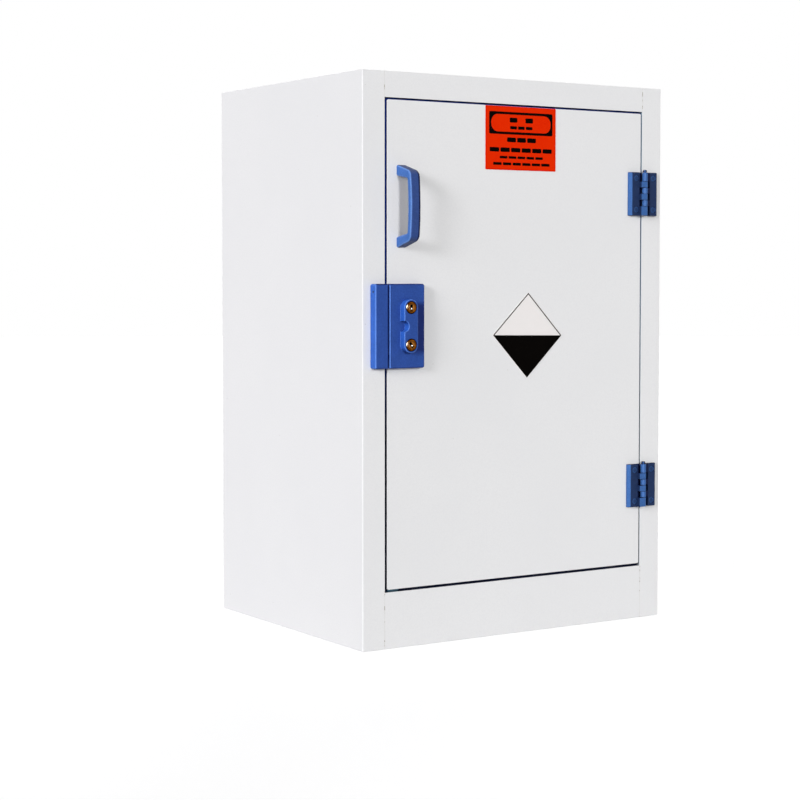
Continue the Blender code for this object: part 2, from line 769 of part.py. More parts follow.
def make_keeper(blue, steel, cabinet):
    low = LOCK_LEVEL - LOCK_HEIGHT / 2
    high = LOCK_LEVEL + LOCK_HEIGHT / 2
    cam_room = box(
        (KEEPER_ROOM_SIDE, CYLINDER_REAR, LOCK_LEVEL - KEEPER_ROOM_HALF),
        (KEEPER_RIGHT + OVERRUN, FRONT + OVERRUN, LOCK_LEVEL + KEEPER_ROOM_HALF),
    )
    screws = [lock_screw_bite(x, z) for x, z in lock_screw_places(keeper_screw_x())]
    side_y = FRONT - LOCK_DEPTH / 2
    side_z = high - SIDE_SCREW_DROP
    side_end = KEEPER_LEFT + SIDE_SCREW_LENGTH
    side_hole = rod(
        (KEEPER_LEFT - OVERRUN, side_y, side_z),
        (side_end + JOINT_GAP, side_y, side_z),
        SIDE_SCREW_RADIUS + JOINT_GAP,
        SMALL_SIDES,
    )
    block = box((KEEPER_LEFT, LOCK_FRONT, low), (KEEPER_RIGHT, LOCK_REAR, high))
    keeper_cuts = [cam_room, *screws, side_hole]
    piece("lock_keeper", blue, cabinet, block, LOCK_ROUNDING, removed=keeper_cuts)
    side_screw = rod(
        (KEEPER_LEFT, side_y, side_z), (side_end, side_y, side_z), SIDE_SCREW_RADIUS, SMALL_SIDES
    )
    piece("keeper_side_screw", steel, cabinet, side_screw)


def make_lock_screws(steel, cabinet, door):
    for label, carrier, x, seat in (
        ("keeper", cabinet, keeper_screw_x(), FRONT + SHEET),
        ("lock_case", door, case_screw_x(), DOOR_CORE_FRONT),
    ):
        for name, (_, z) in zip(("upper", "lower"), lock_screw_places(x)):
            headed_screw(
                f"{label}_screw_{name}",
                steel,
                carrier,
                (x, seat + JOINT_GAP + LOCK_SCREW_HEAD, z),
                (x, seat + JOINT_GAP, z),
                (x, FRONT - LOCK_SCREW_BITE, z),
                LOCK_SCREW_HEAD_RADIUS,
                LOCK_SCREW_RADIUS,
            )


def cam_outline(level, toward):
    """A bar with round ends, from the cylinder's axis to the cam's tip, which lies up (1) or down (-1)."""
    radius = CAM_WIDTH / 2
    tip = level + toward * (CAM_LENGTH - radius)
    centres = sorted((level, tip))
    return [
        *arc((LOCK_X, centres[1]), radius, 0, 180, SMALL_SIDES // 2),
        *arc((LOCK_X, centres[0]), radius, 180, 360, SMALL_SIDES // 2),
    ]


def keyway(level, turn):
    """The key's slot, upright or turned about the cylinder's axis."""
    across = Vector((math.cos(turn), math.sin(turn))) * KEYWAY_WIDTH / 2
    along = Vector((-math.sin(turn), math.cos(turn))) * KEYWAY_HEIGHT / 2
    centre = Vector((LOCK_X, level))
    corners = (across + along, along - across, -across - along, across - along)
    outline = [tuple(centre + corner) for corner in corners]
    face = BOSS_FRONT - CYLINDER_PROUD + PLUG_RECESS
    return prism(outline, "Y", face - OVERRUN, face + KEYWAY_DEPTH)


def square(level, half):
    return [
        (LOCK_X - half, level - half),
        (LOCK_X + half, level - half),
        (LOCK_X + half, level + half),
        (LOCK_X - half, level + half),
    ]


def make_cylinder(name, level, toward, cam_front, turn, brass, steel, door, carrier):
    """One cam lock: its barrel and nut stay in the case, and its plug, cam and screw turn together."""
    face = BOSS_FRONT - CYLINDER_PROUD
    plug_bore = rod(
        (LOCK_X, face - OVERRUN, level),
        (LOCK_X, CYLINDER_REAR + OVERRUN, level),
        PLUG_RADIUS + JOINT_GAP,
    )
    barrel = rod((LOCK_X, face, level), (LOCK_X, CYLINDER_REAR, level), CYLINDER_RADIUS)
    piece(f"lock_barrel_{name}", brass, door, barrel, CYLINDER_ROUNDING, removed=[plug_bore])
    nut_bore = rod(
        (LOCK_X, NUT_FRONT - OVERRUN, level),
        (LOCK_X, CYLINDER_REAR + OVERRUN, level),
        CYLINDER_RADIUS + JOINT_GAP,
    )
    nut = rod((LOCK_X, NUT_FRONT, level), (LOCK_X, CYLINDER_REAR, level), NUT_RADIUS, NUT_SIDES)
    piece(f"lock_nut_{name}", brass, door, nut, removed=[nut_bore])

    cam_back = cam_front + CAM_THICKNESS
    shoulder = cam_front - JOINT_GAP
    tenon = prism(square(level, TENON / 2), "Y", shoulder - LAP, cam_back - JOINT_GAP)
    screw_tip = cam_back + JOINT_GAP - CAM_SCREW_BITE
    screw_hole = rod(
        (LOCK_X, screw_tip - JOINT_GAP, level),
        (LOCK_X, cam_back + OVERRUN, level),
        CAM_SCREW_RADIUS + JOINT_GAP,
        SMALL_SIDES,
    )
    plug = rod((LOCK_X, face + PLUG_RECESS, level), (LOCK_X, shoulder, level), PLUG_RADIUS)
    plug_cuts = [keyway(level, turn), screw_hole]
    piece(f"lock_plug_{name}", brass, carrier, plug, joined=[tenon], removed=plug_cuts)

    drive = prism(square(level, TENON / 2 + JOINT_GAP), "Y", cam_front - OVERRUN, cam_back + OVERRUN)
    cam = prism(cam_outline(level, toward), "Y", cam_front, cam_back)
    piece(f"lock_cam_{name}", steel, carrier, cam, removed=[drive])
    headed_screw(
        f"cam_screw_{name}",
        steel,
        carrier,
        (LOCK_X, cam_back + JOINT_GAP + CAM_SCREW_HEAD, level),
        (LOCK_X, cam_back + JOINT_GAP, level),
        (LOCK_X, screw_tip, level),
        CAM_SCREW_HEAD_RADIUS,
        CAM_SCREW_RADIUS,
    )


def make_lock(blue, brass, steel, cabinet, door):
    make_case(blue, door)
    make_keeper(blue, steel, cabinet)
    make_lock_screws(steel, cabinet, door)
    upper_level, lower_level = cylinder_levels()
    upper_cam = CYLINDER_REAR + CAM_CLEARANCE
    lower_cam = upper_cam + CAM_THICKNESS + CAM_SPACING
    upper = pivot("upper_lock_axis", (LOCK_X, upper_cam, upper_level))
    lower = pivot("lower_lock_axis", (LOCK_X, lower_cam, lower_level))
    make_cylinder("upper", upper_level, -1, upper_cam, 0, brass, steel, door, upper)
    make_cylinder("lower", lower_level, 1, lower_cam, LOWER_KEYWAY_TURN, brass, steel, door, lower)


# Labels


def make_labels(orange, black, door):
    rear = FRONT - JOINT_GAP
    front = rear - LABEL_THICKNESS
    left = PANEL_LABEL_OFFSET - PANEL_LABEL_WIDTH / 2
    top = DOOR_TOP - SKIN_INSET
    panel = box((left, front, top - PANEL_LABEL_HEIGHT), (left + PANEL_LABEL_WIDTH, rear, top))
    piece("label_panel", orange, door, panel)
    half = DIAMOND_LABEL_SIDE / math.sqrt(2)
    outline = [
        (DIAMOND_LABEL_OFFSET - half, DIAMOND_LABEL_LEVEL),
        (DIAMOND_LABEL_OFFSET, DIAMOND_LABEL_LEVEL - half),
        (DIAMOND_LABEL_OFFSET + half, DIAMOND_LABEL_LEVEL),
        (DIAMOND_LABEL_OFFSET, DIAMOND_LABEL_LEVEL + half),
    ]
    piece("label_diamond", black, door, prism(outline, "Y", front, rear))


def main():
    clear_scene()
    white = principled("white_polypropylene", (0.78, 0.78, 0.79), 0.45)
    blue = principled("blue_polypropylene", (0.03, 0.10, 0.36), 0.40)
    hinge_blue = principled("dark_blue_polypropylene", (0.02, 0.05, 0.14), 0.40)
    brass = principled("brass", (0.62, 0.38, 0.12), 0.25, 1.0)
    steel = principled("steel", (0.55, 0.56, 0.58), 0.30, 1.0)
    orange = principled("orange_label", (0.78, 0.02, 0.001), 0.40)
    black = principled("black_and_white_label", (0.10, 0.10, 0.10), 0.40)

    cabinet = pivot("cabinet_frame")
    door = pivot("door_axis", (HINGE_X, HINGE_Y, DOOR_MIDDLE))
    shelf = pivot("shelf_frame", (0, 0, SHELF_LEVEL))

    make_side_panels(white, cabinet)
    make_carcass(white, cabinet)
    make_door_stops(blue, cabinet)
    make_shelf(white, cabinet, shelf)
    make_hinges(hinge_blue, cabinet, door)
    make_door(white, door)
    make_seal(hinge_blue, door)
    make_handle(blue, steel, door)
    make_lock(blue, brass, steel, cabinet, door)
    make_labels(orange, black, door)


main()
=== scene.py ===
"""Visual model of a white acid and alkali cabinet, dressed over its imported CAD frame.

Lengths are metres. X runs to the right of somebody facing the door, Y runs into the cabinet and Z runs up.
Each new surface is worked out as whole arrays, either as rings stacked along an axis or as a section carried
along a path, and each finish is a node material that reads object coordinates.
"""

import logging
import math
from collections.abc import Callable, Sequence
from dataclasses import dataclass
from enum import Enum

import bmesh
import bpy
import numpy as np
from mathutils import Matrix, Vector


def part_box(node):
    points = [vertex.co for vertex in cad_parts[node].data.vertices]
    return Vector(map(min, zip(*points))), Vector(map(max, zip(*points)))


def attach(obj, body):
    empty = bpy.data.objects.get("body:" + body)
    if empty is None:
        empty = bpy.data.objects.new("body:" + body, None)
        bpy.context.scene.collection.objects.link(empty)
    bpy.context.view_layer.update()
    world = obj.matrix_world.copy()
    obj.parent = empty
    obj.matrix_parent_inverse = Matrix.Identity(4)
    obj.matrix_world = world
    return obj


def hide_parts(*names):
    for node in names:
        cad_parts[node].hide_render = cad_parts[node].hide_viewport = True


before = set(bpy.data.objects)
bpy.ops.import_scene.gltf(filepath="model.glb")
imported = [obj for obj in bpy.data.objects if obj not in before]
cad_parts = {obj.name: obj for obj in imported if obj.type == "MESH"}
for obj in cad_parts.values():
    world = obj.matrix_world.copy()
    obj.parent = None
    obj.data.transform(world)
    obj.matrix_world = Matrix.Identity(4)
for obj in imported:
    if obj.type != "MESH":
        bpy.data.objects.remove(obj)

Array = np.ndarray
Numbers = Sequence[float]
Corners = Sequence[Numbers]
Colour = tuple[float, float, float]
Place = tuple[float, float, float]
Profile = tuple[tuple[float, float], ...]
Tones = tuple[Array, Array, Array]
ToneRule = Callable[[Array, Array], Tones]
Piece = bpy.types.Object
Material = bpy.types.Material
Socket = bpy.types.NodeSocket
Value = Socket | float | tuple

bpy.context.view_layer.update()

# Fits: how far a cut runs past a face, how far one shape reaches into the next, and the play between pieces
OVERRUN = 0.002
LAP = 0.0006
CLEARANCE = 0.0003

# Weld beads: the spacing of their rings, and as shares of the radius how far their section closes behind the
# corner and how strong two ripples are, each with its length
BEAD_STEP = 0.0018
BEAD_HEEL = 0.3
BEAD_RIPPLES = ((0.07, 0.009), (0.05, 0.031))

# Thin strips: the softening of their edges, as a share of their smaller side
STRIP_ROUNDING = 0.3

# Turned pieces: the radius of the small flat that closes an end
POLE = 0.0006

# Noise: how strong each finer layer of it is
NOISE_ROUGHNESS = 0.55

# Fineness: steps of a rounded rim, steps of a rounded corner, sides of a turned piece
RIM_STEPS = 4
CORNER_STEPS = 6
TURNED_SIDES = 56
SMALL_SIDES = 32
SHARP_ANGLE = math.radians(34)

# Attributes that the finishes read to paint light and shade: how far a face looks sideways, which is painted
# lighter, how far it looks up or down, which is painted in the ledge tone, and whether its edge gets a
# painted highlight (1) or painted shade (-1)
WALL = "side_wall"
LEDGE = "ledge"
EDGE = "edge"

log = logging.getLogger("cabinet")


class Body(str, Enum):
    """The moving bodies of the frame."""

    CABINET = "cabinet"
    DOOR = "door"
    UPPER_LOCK = "upper_lock"
    LOWER_LOCK = "lower_lock"
    SHELF = "shelf"


class Slot(str, Enum):
    """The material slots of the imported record."""

    WHITE = "white_plastic"
    BLUE = "blue_plastic"
    DARK_BLUE = "dark_blue_plastic"
    BRASS = "brass"
    STEEL = "steel"
    ORANGE = "orange_label"
    BLACK_AND_WHITE = "black_and_white_label"


class Along(Enum):
    """The axis an outline is carried along, as the order that turns (across, up, level) into (x, y, z)."""

    X = (2, 0, 1)
    Y = (0, 2, 1)
    Z = (0, 1, 2)


class Cut(str, Enum):
    """What a tool does to the shape that it meets."""

    JOIN = "UNION"
    REMOVE = "DIFFERENCE"


class Hand(Enum):
    """Left or right of somebody facing the door."""

    LEFT = -1
    RIGHT = 1


# Shapes


@dataclass
class Shell:
    """A closed surface that isn't in the scene yet: points, faces as point numbers, and their finishes."""

    points: Array
    faces: list[list[int]]
    layers: Array

    @classmethod
    def stacked(cls, rings: Array, looped: bool = False) -> "Shell":
        """Join rings of equal size into one skin.

        Point j of ring i meets point j + 1 of its own ring and point j of ring i + 1, and each such step is
        one face of four corners.

        Args:
            rings: places, shaped (rings, points of a ring, 3).
            looped: whether the last ring meets the first. Otherwise one flat face closes each end.

        Returns:
            The closed surface.
        """
        count, size = rings.shape[:2]
        number = np.arange(count * size).reshape(count, size)
        near = number if looped else number[:-1]
        far = np.roll(number, -1, axis=0) if looped else number[1:]
        around = [near, np.roll(near, -1, axis=1), np.roll(far, -1, axis=1), far]
        faces = np.stack(around, axis=-1).reshape(-1, 4).tolist()
        if not looped:
            faces += [number[0, ::-1].tolist(), number[-1].tolist()]
        return cls(rings.reshape(-1, 3), faces, np.zeros(len(faces), int))

    @classmethod
    def together(cls, shells: Sequence["Shell"]) -> "Shell":
        """Gather several surfaces into one, each keeping its own faces and layers."""
        first = np.cumsum([0] + [len(shell.points) for shell in shells])
        placed = [(face, int(start)) for shell, start in zip(shells, first) for face in shell.faces]
        faces = [[corner + start for corner in face] for face, start in placed]
        points = np.concatenate([shell.points for shell in shells])
        return cls(points, faces, np.concatenate([shell.layers for shell in shells]))

    @classmethod
    def of_mesh(cls, mesh: bpy.types.Mesh) -> "Shell":
        """Read a surface back from a mesh."""
        points = np.empty(len(mesh.vertices) * 3)
        mesh.vertices.foreach_get("co", points)
        corners = np.empty(len(mesh.loops), int)
        mesh.loops.foreach_get("vertex_index", corners)
        starts = np.empty(len(mesh.polygons), int)
        mesh.polygons.foreach_get("loop_start", starts)
        faces = [part.tolist() for part in np.split(corners, starts[1:])]
        return cls(points.reshape(-1, 3), faces, np.zeros(len(faces), int))

    def in_layer(self, layer: int) -> "Shell":
        """The same surface with every face in one layer of finish."""
        return Shell(self.points, self.faces, np.full(len(self.faces), layer))

    def centres(self) -> Array:
        """The middle of each face, the mean of its corners."""
        sizes = np.array([len(face) for face in self.faces])
        corners = self.points[np.concatenate(self.faces)]
        return np.add.reduceat(corners, np.cumsum(sizes) - sizes, axis=0) / sizes[:, None]

    def where(self, chosen: Array, layer: int) -> "Shell":
        """The same surface with the chosen faces in another layer of finish."""
        return Shell(self.points, self.faces, np.where(chosen, layer, self.layers))

    def to_mesh(self, name: str) -> bpy.types.Mesh:
        """Write the surface into a new mesh whose faces all point outwards."""
        mesh = bpy.data.meshes.new(name)
        mesh.from_pydata(self.points.tolist(), [], self.faces)
        mesh.polygons.foreach_set("material_index", self.layers)
        bm = bmesh.new()
        bm.from_mesh(mesh)
        bmesh.ops.recalc_face_normals(bm, faces=bm.faces)
        bm.to_mesh(mesh)
        bm.free()
        mesh.update()
        return mesh

    def worked(self, cut: Cut, tools: Sequence["Shell"]) -> "Shell":
        """Join other shapes to this one, or remove them from it.

        Args:
            cut: what each tool does.
            tools: the shapes, used one after another.

        Returns:
            The surface that is left.
        """
        bench = bpy.data.objects.new("bench", self.to_mesh("bench"))
        show(bench)
        helpers = [bpy.data.objects.new("tool", tool.to_mesh("tool")) for tool in tools]
        for helper in helpers:
            show(helper)
            modifier = bench.modifiers.new("Cut", "BOOLEAN")
            modifier.operation = cut.value
            modifier.solver = "EXACT"
            modifier.object = helper
        graph = bpy.context.evaluated_depsgraph_get()
        mesh = bpy.data.meshes.new_from_object(bench.evaluated_get(graph))
        shell = Shell.of_mesh(mesh)
        bpy.data.meshes.remove(mesh)
        for spent in [bench, *helpers]:
            bpy.data.meshes.remove(spent.data)
        return shell


def show(thing: Piece) -> None:
    """Put an object into the scene."""
    bpy.context.scene.collection.objects.link(thing)


def unit(vectors: Array) -> Array:
    """Vectors divided by their own lengths."""
    return vectors / np.linalg.norm(vectors, axis=-1, keepdims=True)


def anticlockwise(outline: Array) -> Array:
    """The outline in anticlockwise order. Twice its area is the sum of x(i) y(i+1) - x(i+1) y(i)."""
    after = np.roll(outline, -1, axis=0)
    area = (outline[:, 0] * after[:, 1] - after[:, 0] * outline[:, 1]).sum()
    return outline if area > 0 else outline[::-1]


def bends(corners: Corners, radii: float | Numbers, steps: int = CORNER_STEPS) -> Array:
    """Round every corner of a closed outline.

    With back and ahead the unit vectors from a corner to its neighbours, and w half the angle between them,
    the arc's centre lies r / sin w from the corner, midway between the two. The arc runs from the point
    r / tan w back to the point r / tan w ahead. From the centre, its point at share s is
    (sin((1 - s) f) a + sin(s f) b) / sin f, where a and b reach the two ends and f is the angle between them.

    Args:
        corners: the outline's corners, each across and up.
        radii: one radius for all, or one for each corner.
        steps: steps of each arc.

    Returns:
        Points shaped (corners, steps + 1, 2), in the order of the corners.
    """
    points = np.asarray(corners, float)
    radius = np.broadcast_to(np.asarray(radii, float), len(points))[:, None]
    back = unit(np.roll(points, 1, axis=0) - points)
    ahead = unit(np.roll(points, -1, axis=0) - points)
    half = np.arccos(np.clip((back * ahead).sum(axis=1, keepdims=True), -1, 1)) / 2
    centre = points + unit(back + ahead) * radius / np.sin(half)
    first = points + back * radius / np.tan(half) - centre
    last = points + ahead * radius / np.tan(half) - centre
    turn = (math.pi - 2 * half)[:, None]
    share = np.linspace(0, 1, steps + 1)[None, :, None]
    swung = np.sin((1 - share) * turn) * first[:, None] + np.sin(share * turn) * last[:, None]
    return centre[:, None] + swung / np.sin(turn)


def rounded(corners: Corners, radii: float | Numbers, steps: int = CORNER_STEPS) -> Array:
    """A closed outline with its corners rounded, anticlockwise."""
    return anticlockwise(bends(corners, radii, steps).reshape(-1, 2))


def rectangle(low: Numbers, high: Numbers, radius: float) -> Array:
    """The outline of a rectangle with rounded corners, from its lowest corner to its highest."""
    return rounded([(low[0], low[1]), (high[0], low[1]), (high[0], high[1]), (low[0], high[1])], radius)


def circle(centre: Numbers, radius: float, sides: int = SMALL_SIDES) -> Array:
    """The outline of a circle: centre + radius (cos t, sin t)."""
    turn = np.linspace(0, 2 * math.pi, sides, endpoint=False)
    return np.asarray(centre, float) + radius * np.stack([np.cos(turn), np.sin(turn)], axis=1)


def swing(centre: Numbers, radius: float, start: float, end: float, steps: int) -> Array:
    """Points of an arc about a centre, from one angle to another in degrees."""
    turn = np.radians(np.linspace(start, end, steps + 1))
    return np.asarray(centre, float) + radius * np.stack([np.cos(turn), np.sin(turn)], axis=1)


def mitres(outline: Array) -> Array:
    """How each point of an anticlockwise outline moves when all its edges move outwards by one.

    With m and n the outward unit normals of the two edges at a point, it moves by (m + n) / (1 + m . n).
    """
    edge = unit(np.roll(outline, -1, axis=0) - outline)
    after = np.stack([edge[:, 1], -edge[:, 0]], axis=1)
    before = np.roll(after, 1, axis=0)
    return (before + after) / (1 + (before * after).sum(axis=1, keepdims=True))


def stack(outline: Array, axis: Along, insets: Numbers, levels: Numbers) -> Array:
    """Rings along an axis: ring i is the outline moved inwards by insets[i], at levels[i].

    Args:
        outline: an anticlockwise outline, across and up.
        axis: the axis that the rings are stacked along.
        insets: how far each ring lies inside the outline.
        levels: each ring's place on the axis.

    Returns:
        Places shaped (rings, points, 3).
    """
    moved = outline[None] - np.asarray(insets, float)[:, None, None] * mitres(outline)[None]
    level = np.broadcast_to(np.asarray(levels, float)[:, None, None], (*moved.shape[:2], 1))
    return np.concatenate([moved, level], axis=2)[..., list(axis.value)]


def quarter(radius: float, steps: int = RIM_STEPS) -> tuple[Array, Array]:
    """A quarter-round rim: insets r (1 - sin t) and rises r (1 - cos t), t from 0 to a right angle."""
    turn = np.linspace(0, math.pi / 2, steps + 1)
    return radius * (1 - np.sin(turn)), radius * (1 - np.cos(turn))


def slab(
    outline: Array, axis: Along, low: float, high: float, near: float, far: float | None = None
) -> Shell:
    """An outline carried along an axis, with the rims at both of its ends rounded.

    Args:
        outline: an anticlockwise outline, across and up.
        axis: the axis that it is carried along.
        low: where it starts.
        high: where it ends.
        near: radius of the rim at the start.
        far: radius of the rim at the end, the same where it isn't given.

    Returns:
        The closed surface.
    """
    inset_near, rise_near = quarter(near)
    inset_far, rise_far = quarter(near if far is None else far)
    insets = np.concatenate([inset_near, inset_far[::-1]])
    levels = np.concatenate([low + rise_near, high - rise_far[::-1]])
    return Shell.stacked(stack(outline, axis, insets, levels))


def rod(centre: Numbers, radius: float, axis: Along, low: float, high: float, rim: float = 0.0002) -> Shell:
    """A round bar along an axis, with slightly rounded rims."""
    return slab(circle(centre, radius), axis, low, high, rim)


def block(
    low: Place, high: Place, axis: Along = Along.Y, corner: float = 0.0006, rim: float = 0.0004
) -> Shell:
    """A box whose four edges along the axis have one radius and whose end rims have another."""
    start, end = np.asarray(low, float), np.asarray(high, float)
    across, up, level = np.argsort(axis.value)
    outline = rectangle((start[across], start[up]), (end[across], end[up]), corner)
    return slab(outline, axis, start[level], end[level], rim)


def sheet(low: Place, high: Place, corner: float = 0.001, rim: float = 0.0005) -> Shell:
    """A flat sheet that fills a box: its outline is cut from the box's broad side."""
    axis = (Along.X, Along.Y, Along.Z)[int(np.argmin(np.asarray(high) - np.asarray(low)))]
    return block(low, high, axis, corner, rim)


def turned(profile: Corners, centre: Numbers, axis: Along, looped: bool) -> Shell:
    """A profile of (radius, level) pairs turned about an axis.

    Point j of ring i is centre + radius(i) (cos t(j), sin t(j)) at level(i).

    Args:
        profile: the pairs, in order along the surface.
        centre: where the axis stands, across and up.
        axis: the axis.
        looped: whether the profile closes on itself, as a bushing's does.

    Returns:
        The closed surface.
    """
    radius, level = np.asarray(profile, float).T
    spot = np.asarray(centre, float) + radius[:, None, None] * circle((0, 0), 1.0, TURNED_SIDES)[None]
    height = np.broadcast_to(level[:, None, None], (*spot.shape[:2], 1))
    return Shell.stacked(np.concatenate([spot, height], axis=2)[..., list(axis.value)], looped)


def frame_ring(low: Numbers, high: Numbers, radius: float, width: float, front: float, back: float) -> Shell:
    """A strip round a rectangle in X and Z: its section is a small box with softened edges.

    Ring i is the rectangle's outline moved inwards by the section's inset i, at the section's level i in Y,
    and the last ring meets the first.

    Args:
        low: lowest corner of the strip's outer edge, in X and Z.
        high: highest corner of it.
        radius: corner radius of the outer edge.
        width: how far the strip reaches inwards.
        front: where it starts in Y.
        back: where it ends.

    Returns:
        The closed surface.
    """
    section = rectangle((0, front), (width, back), min(width, back - front) * STRIP_ROUNDING)
    outline = rectangle(low, high, radius)
    return Shell.stacked(stack(outline, Along.Y, section[:, 0], section[:, 1]), looped=True)


def weld_bead(start: Place, end: Place, one_wall: Place, other_wall: Place, radius: float) -> Shell:
    """A weld rod laid in the corner between two sheets.

    Its section is a quarter disc from one wall's direction to the other's, closed by a point just behind the
    corner. At a distance d along the seam its radius is r (1 + a sin(2 pi d / p) + b sin(2 pi d / q)), with
    the shares a and b and the lengths p and q of the two ripples.

    Args:
        start: the corner's first point.
        end: its last point.
        one_wall: unit vector along one sheet, away from the corner.
        other_wall: unit vector along the other.
        radius: the bead's mean radius.

    Returns:
        The closed surface.
    """
    first, way = np.asarray(start, float), np.asarray(end, float) - np.asarray(start, float)
    length = float(np.linalg.norm(way))
    distance = np.linspace(0, length, round(length / BEAD_STEP))
    swell = np.ones(len(distance))
    for share, wave in BEAD_RIPPLES:
        swell += share * np.sin(2 * math.pi * distance / wave)
    turn = np.linspace(0, math.pi / 2, CORNER_STEPS)[:, None]
    arc = np.cos(turn) * np.asarray(one_wall, float) + np.sin(turn) * np.asarray(other_wall, float)
    behind = -BEAD_HEEL * (np.asarray(one_wall, float) + np.asarray(other_wall, float))
    section = np.concatenate([arc, behind[None]])
    middles = first + distance[:, None] / length * way
    return Shell.stacked(middles[:, None] + radius * swell[:, None, None] * section[None])


def reach(node: str) -> tuple[Array, Array]:
    """The lowest and highest corner of a CAD node."""
    low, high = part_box(node)
    return np.array(low), np.array(high)


def spot_of(node: str, axis: Along = Along.Y) -> Array:
    """The middle of a CAD node as it is seen along an axis, across and up."""
    low, high = reach(node)
    return ((low + high) / 2)[np.argsort(axis.value)[:2]]


# Finishes


class Recipe:
    """A node material in the making, with short calls for the nodes that the finishes share."""

    def __init__(self, name: str) -> None:
        """Start a material and its principled shader."""
        self.material = bpy.data.materials.new(name)
        self.material.use_nodes = True
        self.tree = self.material.node_tree
        self.shader = self.tree.nodes["Principled BSDF"]
        self.place = self.tree.nodes.new("ShaderNodeTexCoord").outputs["Object"]

    def node(self, kind: str, inputs: dict[str | int, Value], **settings: str | bool) -> bpy.types.Node:
        """Add a node.

        Args:
            kind: the node's type, after the word ShaderNode.
            inputs: for each input's name or number, a socket to link or a value to set.
            settings: the node's own settings.

        Returns:
            The node.
        """
        made = self.tree.nodes.new("ShaderNode" + kind)
        for name, value in settings.items():
            setattr(made, name, value)
        for name, value in inputs.items():
            self.feed(made.inputs[name], value)
        return made

    def feed(self, socket: Socket, value: Value) -> None:
        """Link a socket to an input, or set the input's own value."""
        if isinstance(value, Socket):
            self.tree.links.new(value, socket)
        elif isinstance(value, tuple) and len(value) == 3 and socket.type == "RGBA":
            socket.default_value = (*value, 1.0)
        else:
            socket.default_value = value

    def stretched(self, scale: Place) -> Socket:
        """Object coordinates multiplied along each axis."""
        return self.node("Mapping", {"Vector": self.place, "Scale": scale}).outputs["Vector"]

    def centred(self, spot: Place) -> Socket:
        """Object coordinates measured from a spot."""
        moved = {"Vector": self.place, "Location": tuple(-value for value in spot)}
        return self.node("Mapping", moved).outputs["Vector"]

    def noise(self, scale: float, detail: float = 2.0, place: Socket | None = None) -> Socket:
        """Smooth noise, scale features to the metre."""
        inputs = {"Vector": place or self.place, "Scale": scale, "Detail": detail}
        return self.node("TexNoise", {**inputs, "Roughness": NOISE_ROUGHNESS}).outputs["Fac"]

    def spread(
        self, value: Socket, low: float, high: float, to_low: float = 0.0, to_high: float = 1.0
    ) -> Socket:
        """Map the range low to high onto another range, and hold it there."""
        inputs = {"Value": value, "From Min": low, "From Max": high, "To Min": to_low, "To Max": to_high}
        return self.node("MapRange", inputs, clamp=True).outputs["Result"]

    def step(self, operation: str, first: Value, second: Value) -> Socket:
        """One step of arithmetic."""
        return self.node("Math", {0: first, 1: second}, operation=operation).outputs[0]

    def vector_step(self, operation: str, inputs: dict[str | int, Value]) -> bpy.types.Node:
        """One step of vector arithmetic."""
        return self.node("VectorMath", inputs, operation=operation)

    def mixed(self, share: Value, first: Value, second: Value) -> Socket:
        """A colour between two others."""
        inputs = {0: share, 6: first, 7: second}
        return self.node("Mix", inputs, data_type="RGBA").outputs[2]

    def attribute(self, name: str) -> Socket:
        """A number kept on the piece's faces."""
        return self.node("Attribute", {}, attribute_name=name).outputs["Fac"]

    def bump(self, height: Socket, depth: float, under: Socket | None = None) -> Socket:
        """A surface relief of some depth in metres, over another relief where one is given."""
        inputs = {"Height": height, "Distance": depth, "Strength": 1.0}
        if under is not None:
            inputs["Normal"] = under
        return self.node("Bump", inputs).outputs["Normal"]

    def finish(
        self, colour: Value, roughness: Value, relief: Socket | None, level: float = 0.5, metal: float = 0.0
    ) -> Material:
        """Feed the shader.

        Args:
            colour: a colour or a colour's socket.
            roughness: a number or a socket.
            relief: a normal's socket, or None where it is smooth.
            level: how strong its reflections are.
            metal: 1 where it is a metal.

        Returns:
            The material.
        """
        self.feed(self.shader.inputs["Base Color"], colour)
        self.feed(self.shader.inputs["Roughness"], roughness)
        if relief is not None:
            self.feed(self.shader.inputs["Normal"], relief)
        self.feed(self.shader.inputs["Specular IOR Level"], level)
        self.feed(self.shader.inputs["Metallic"], metal)
        return self.material


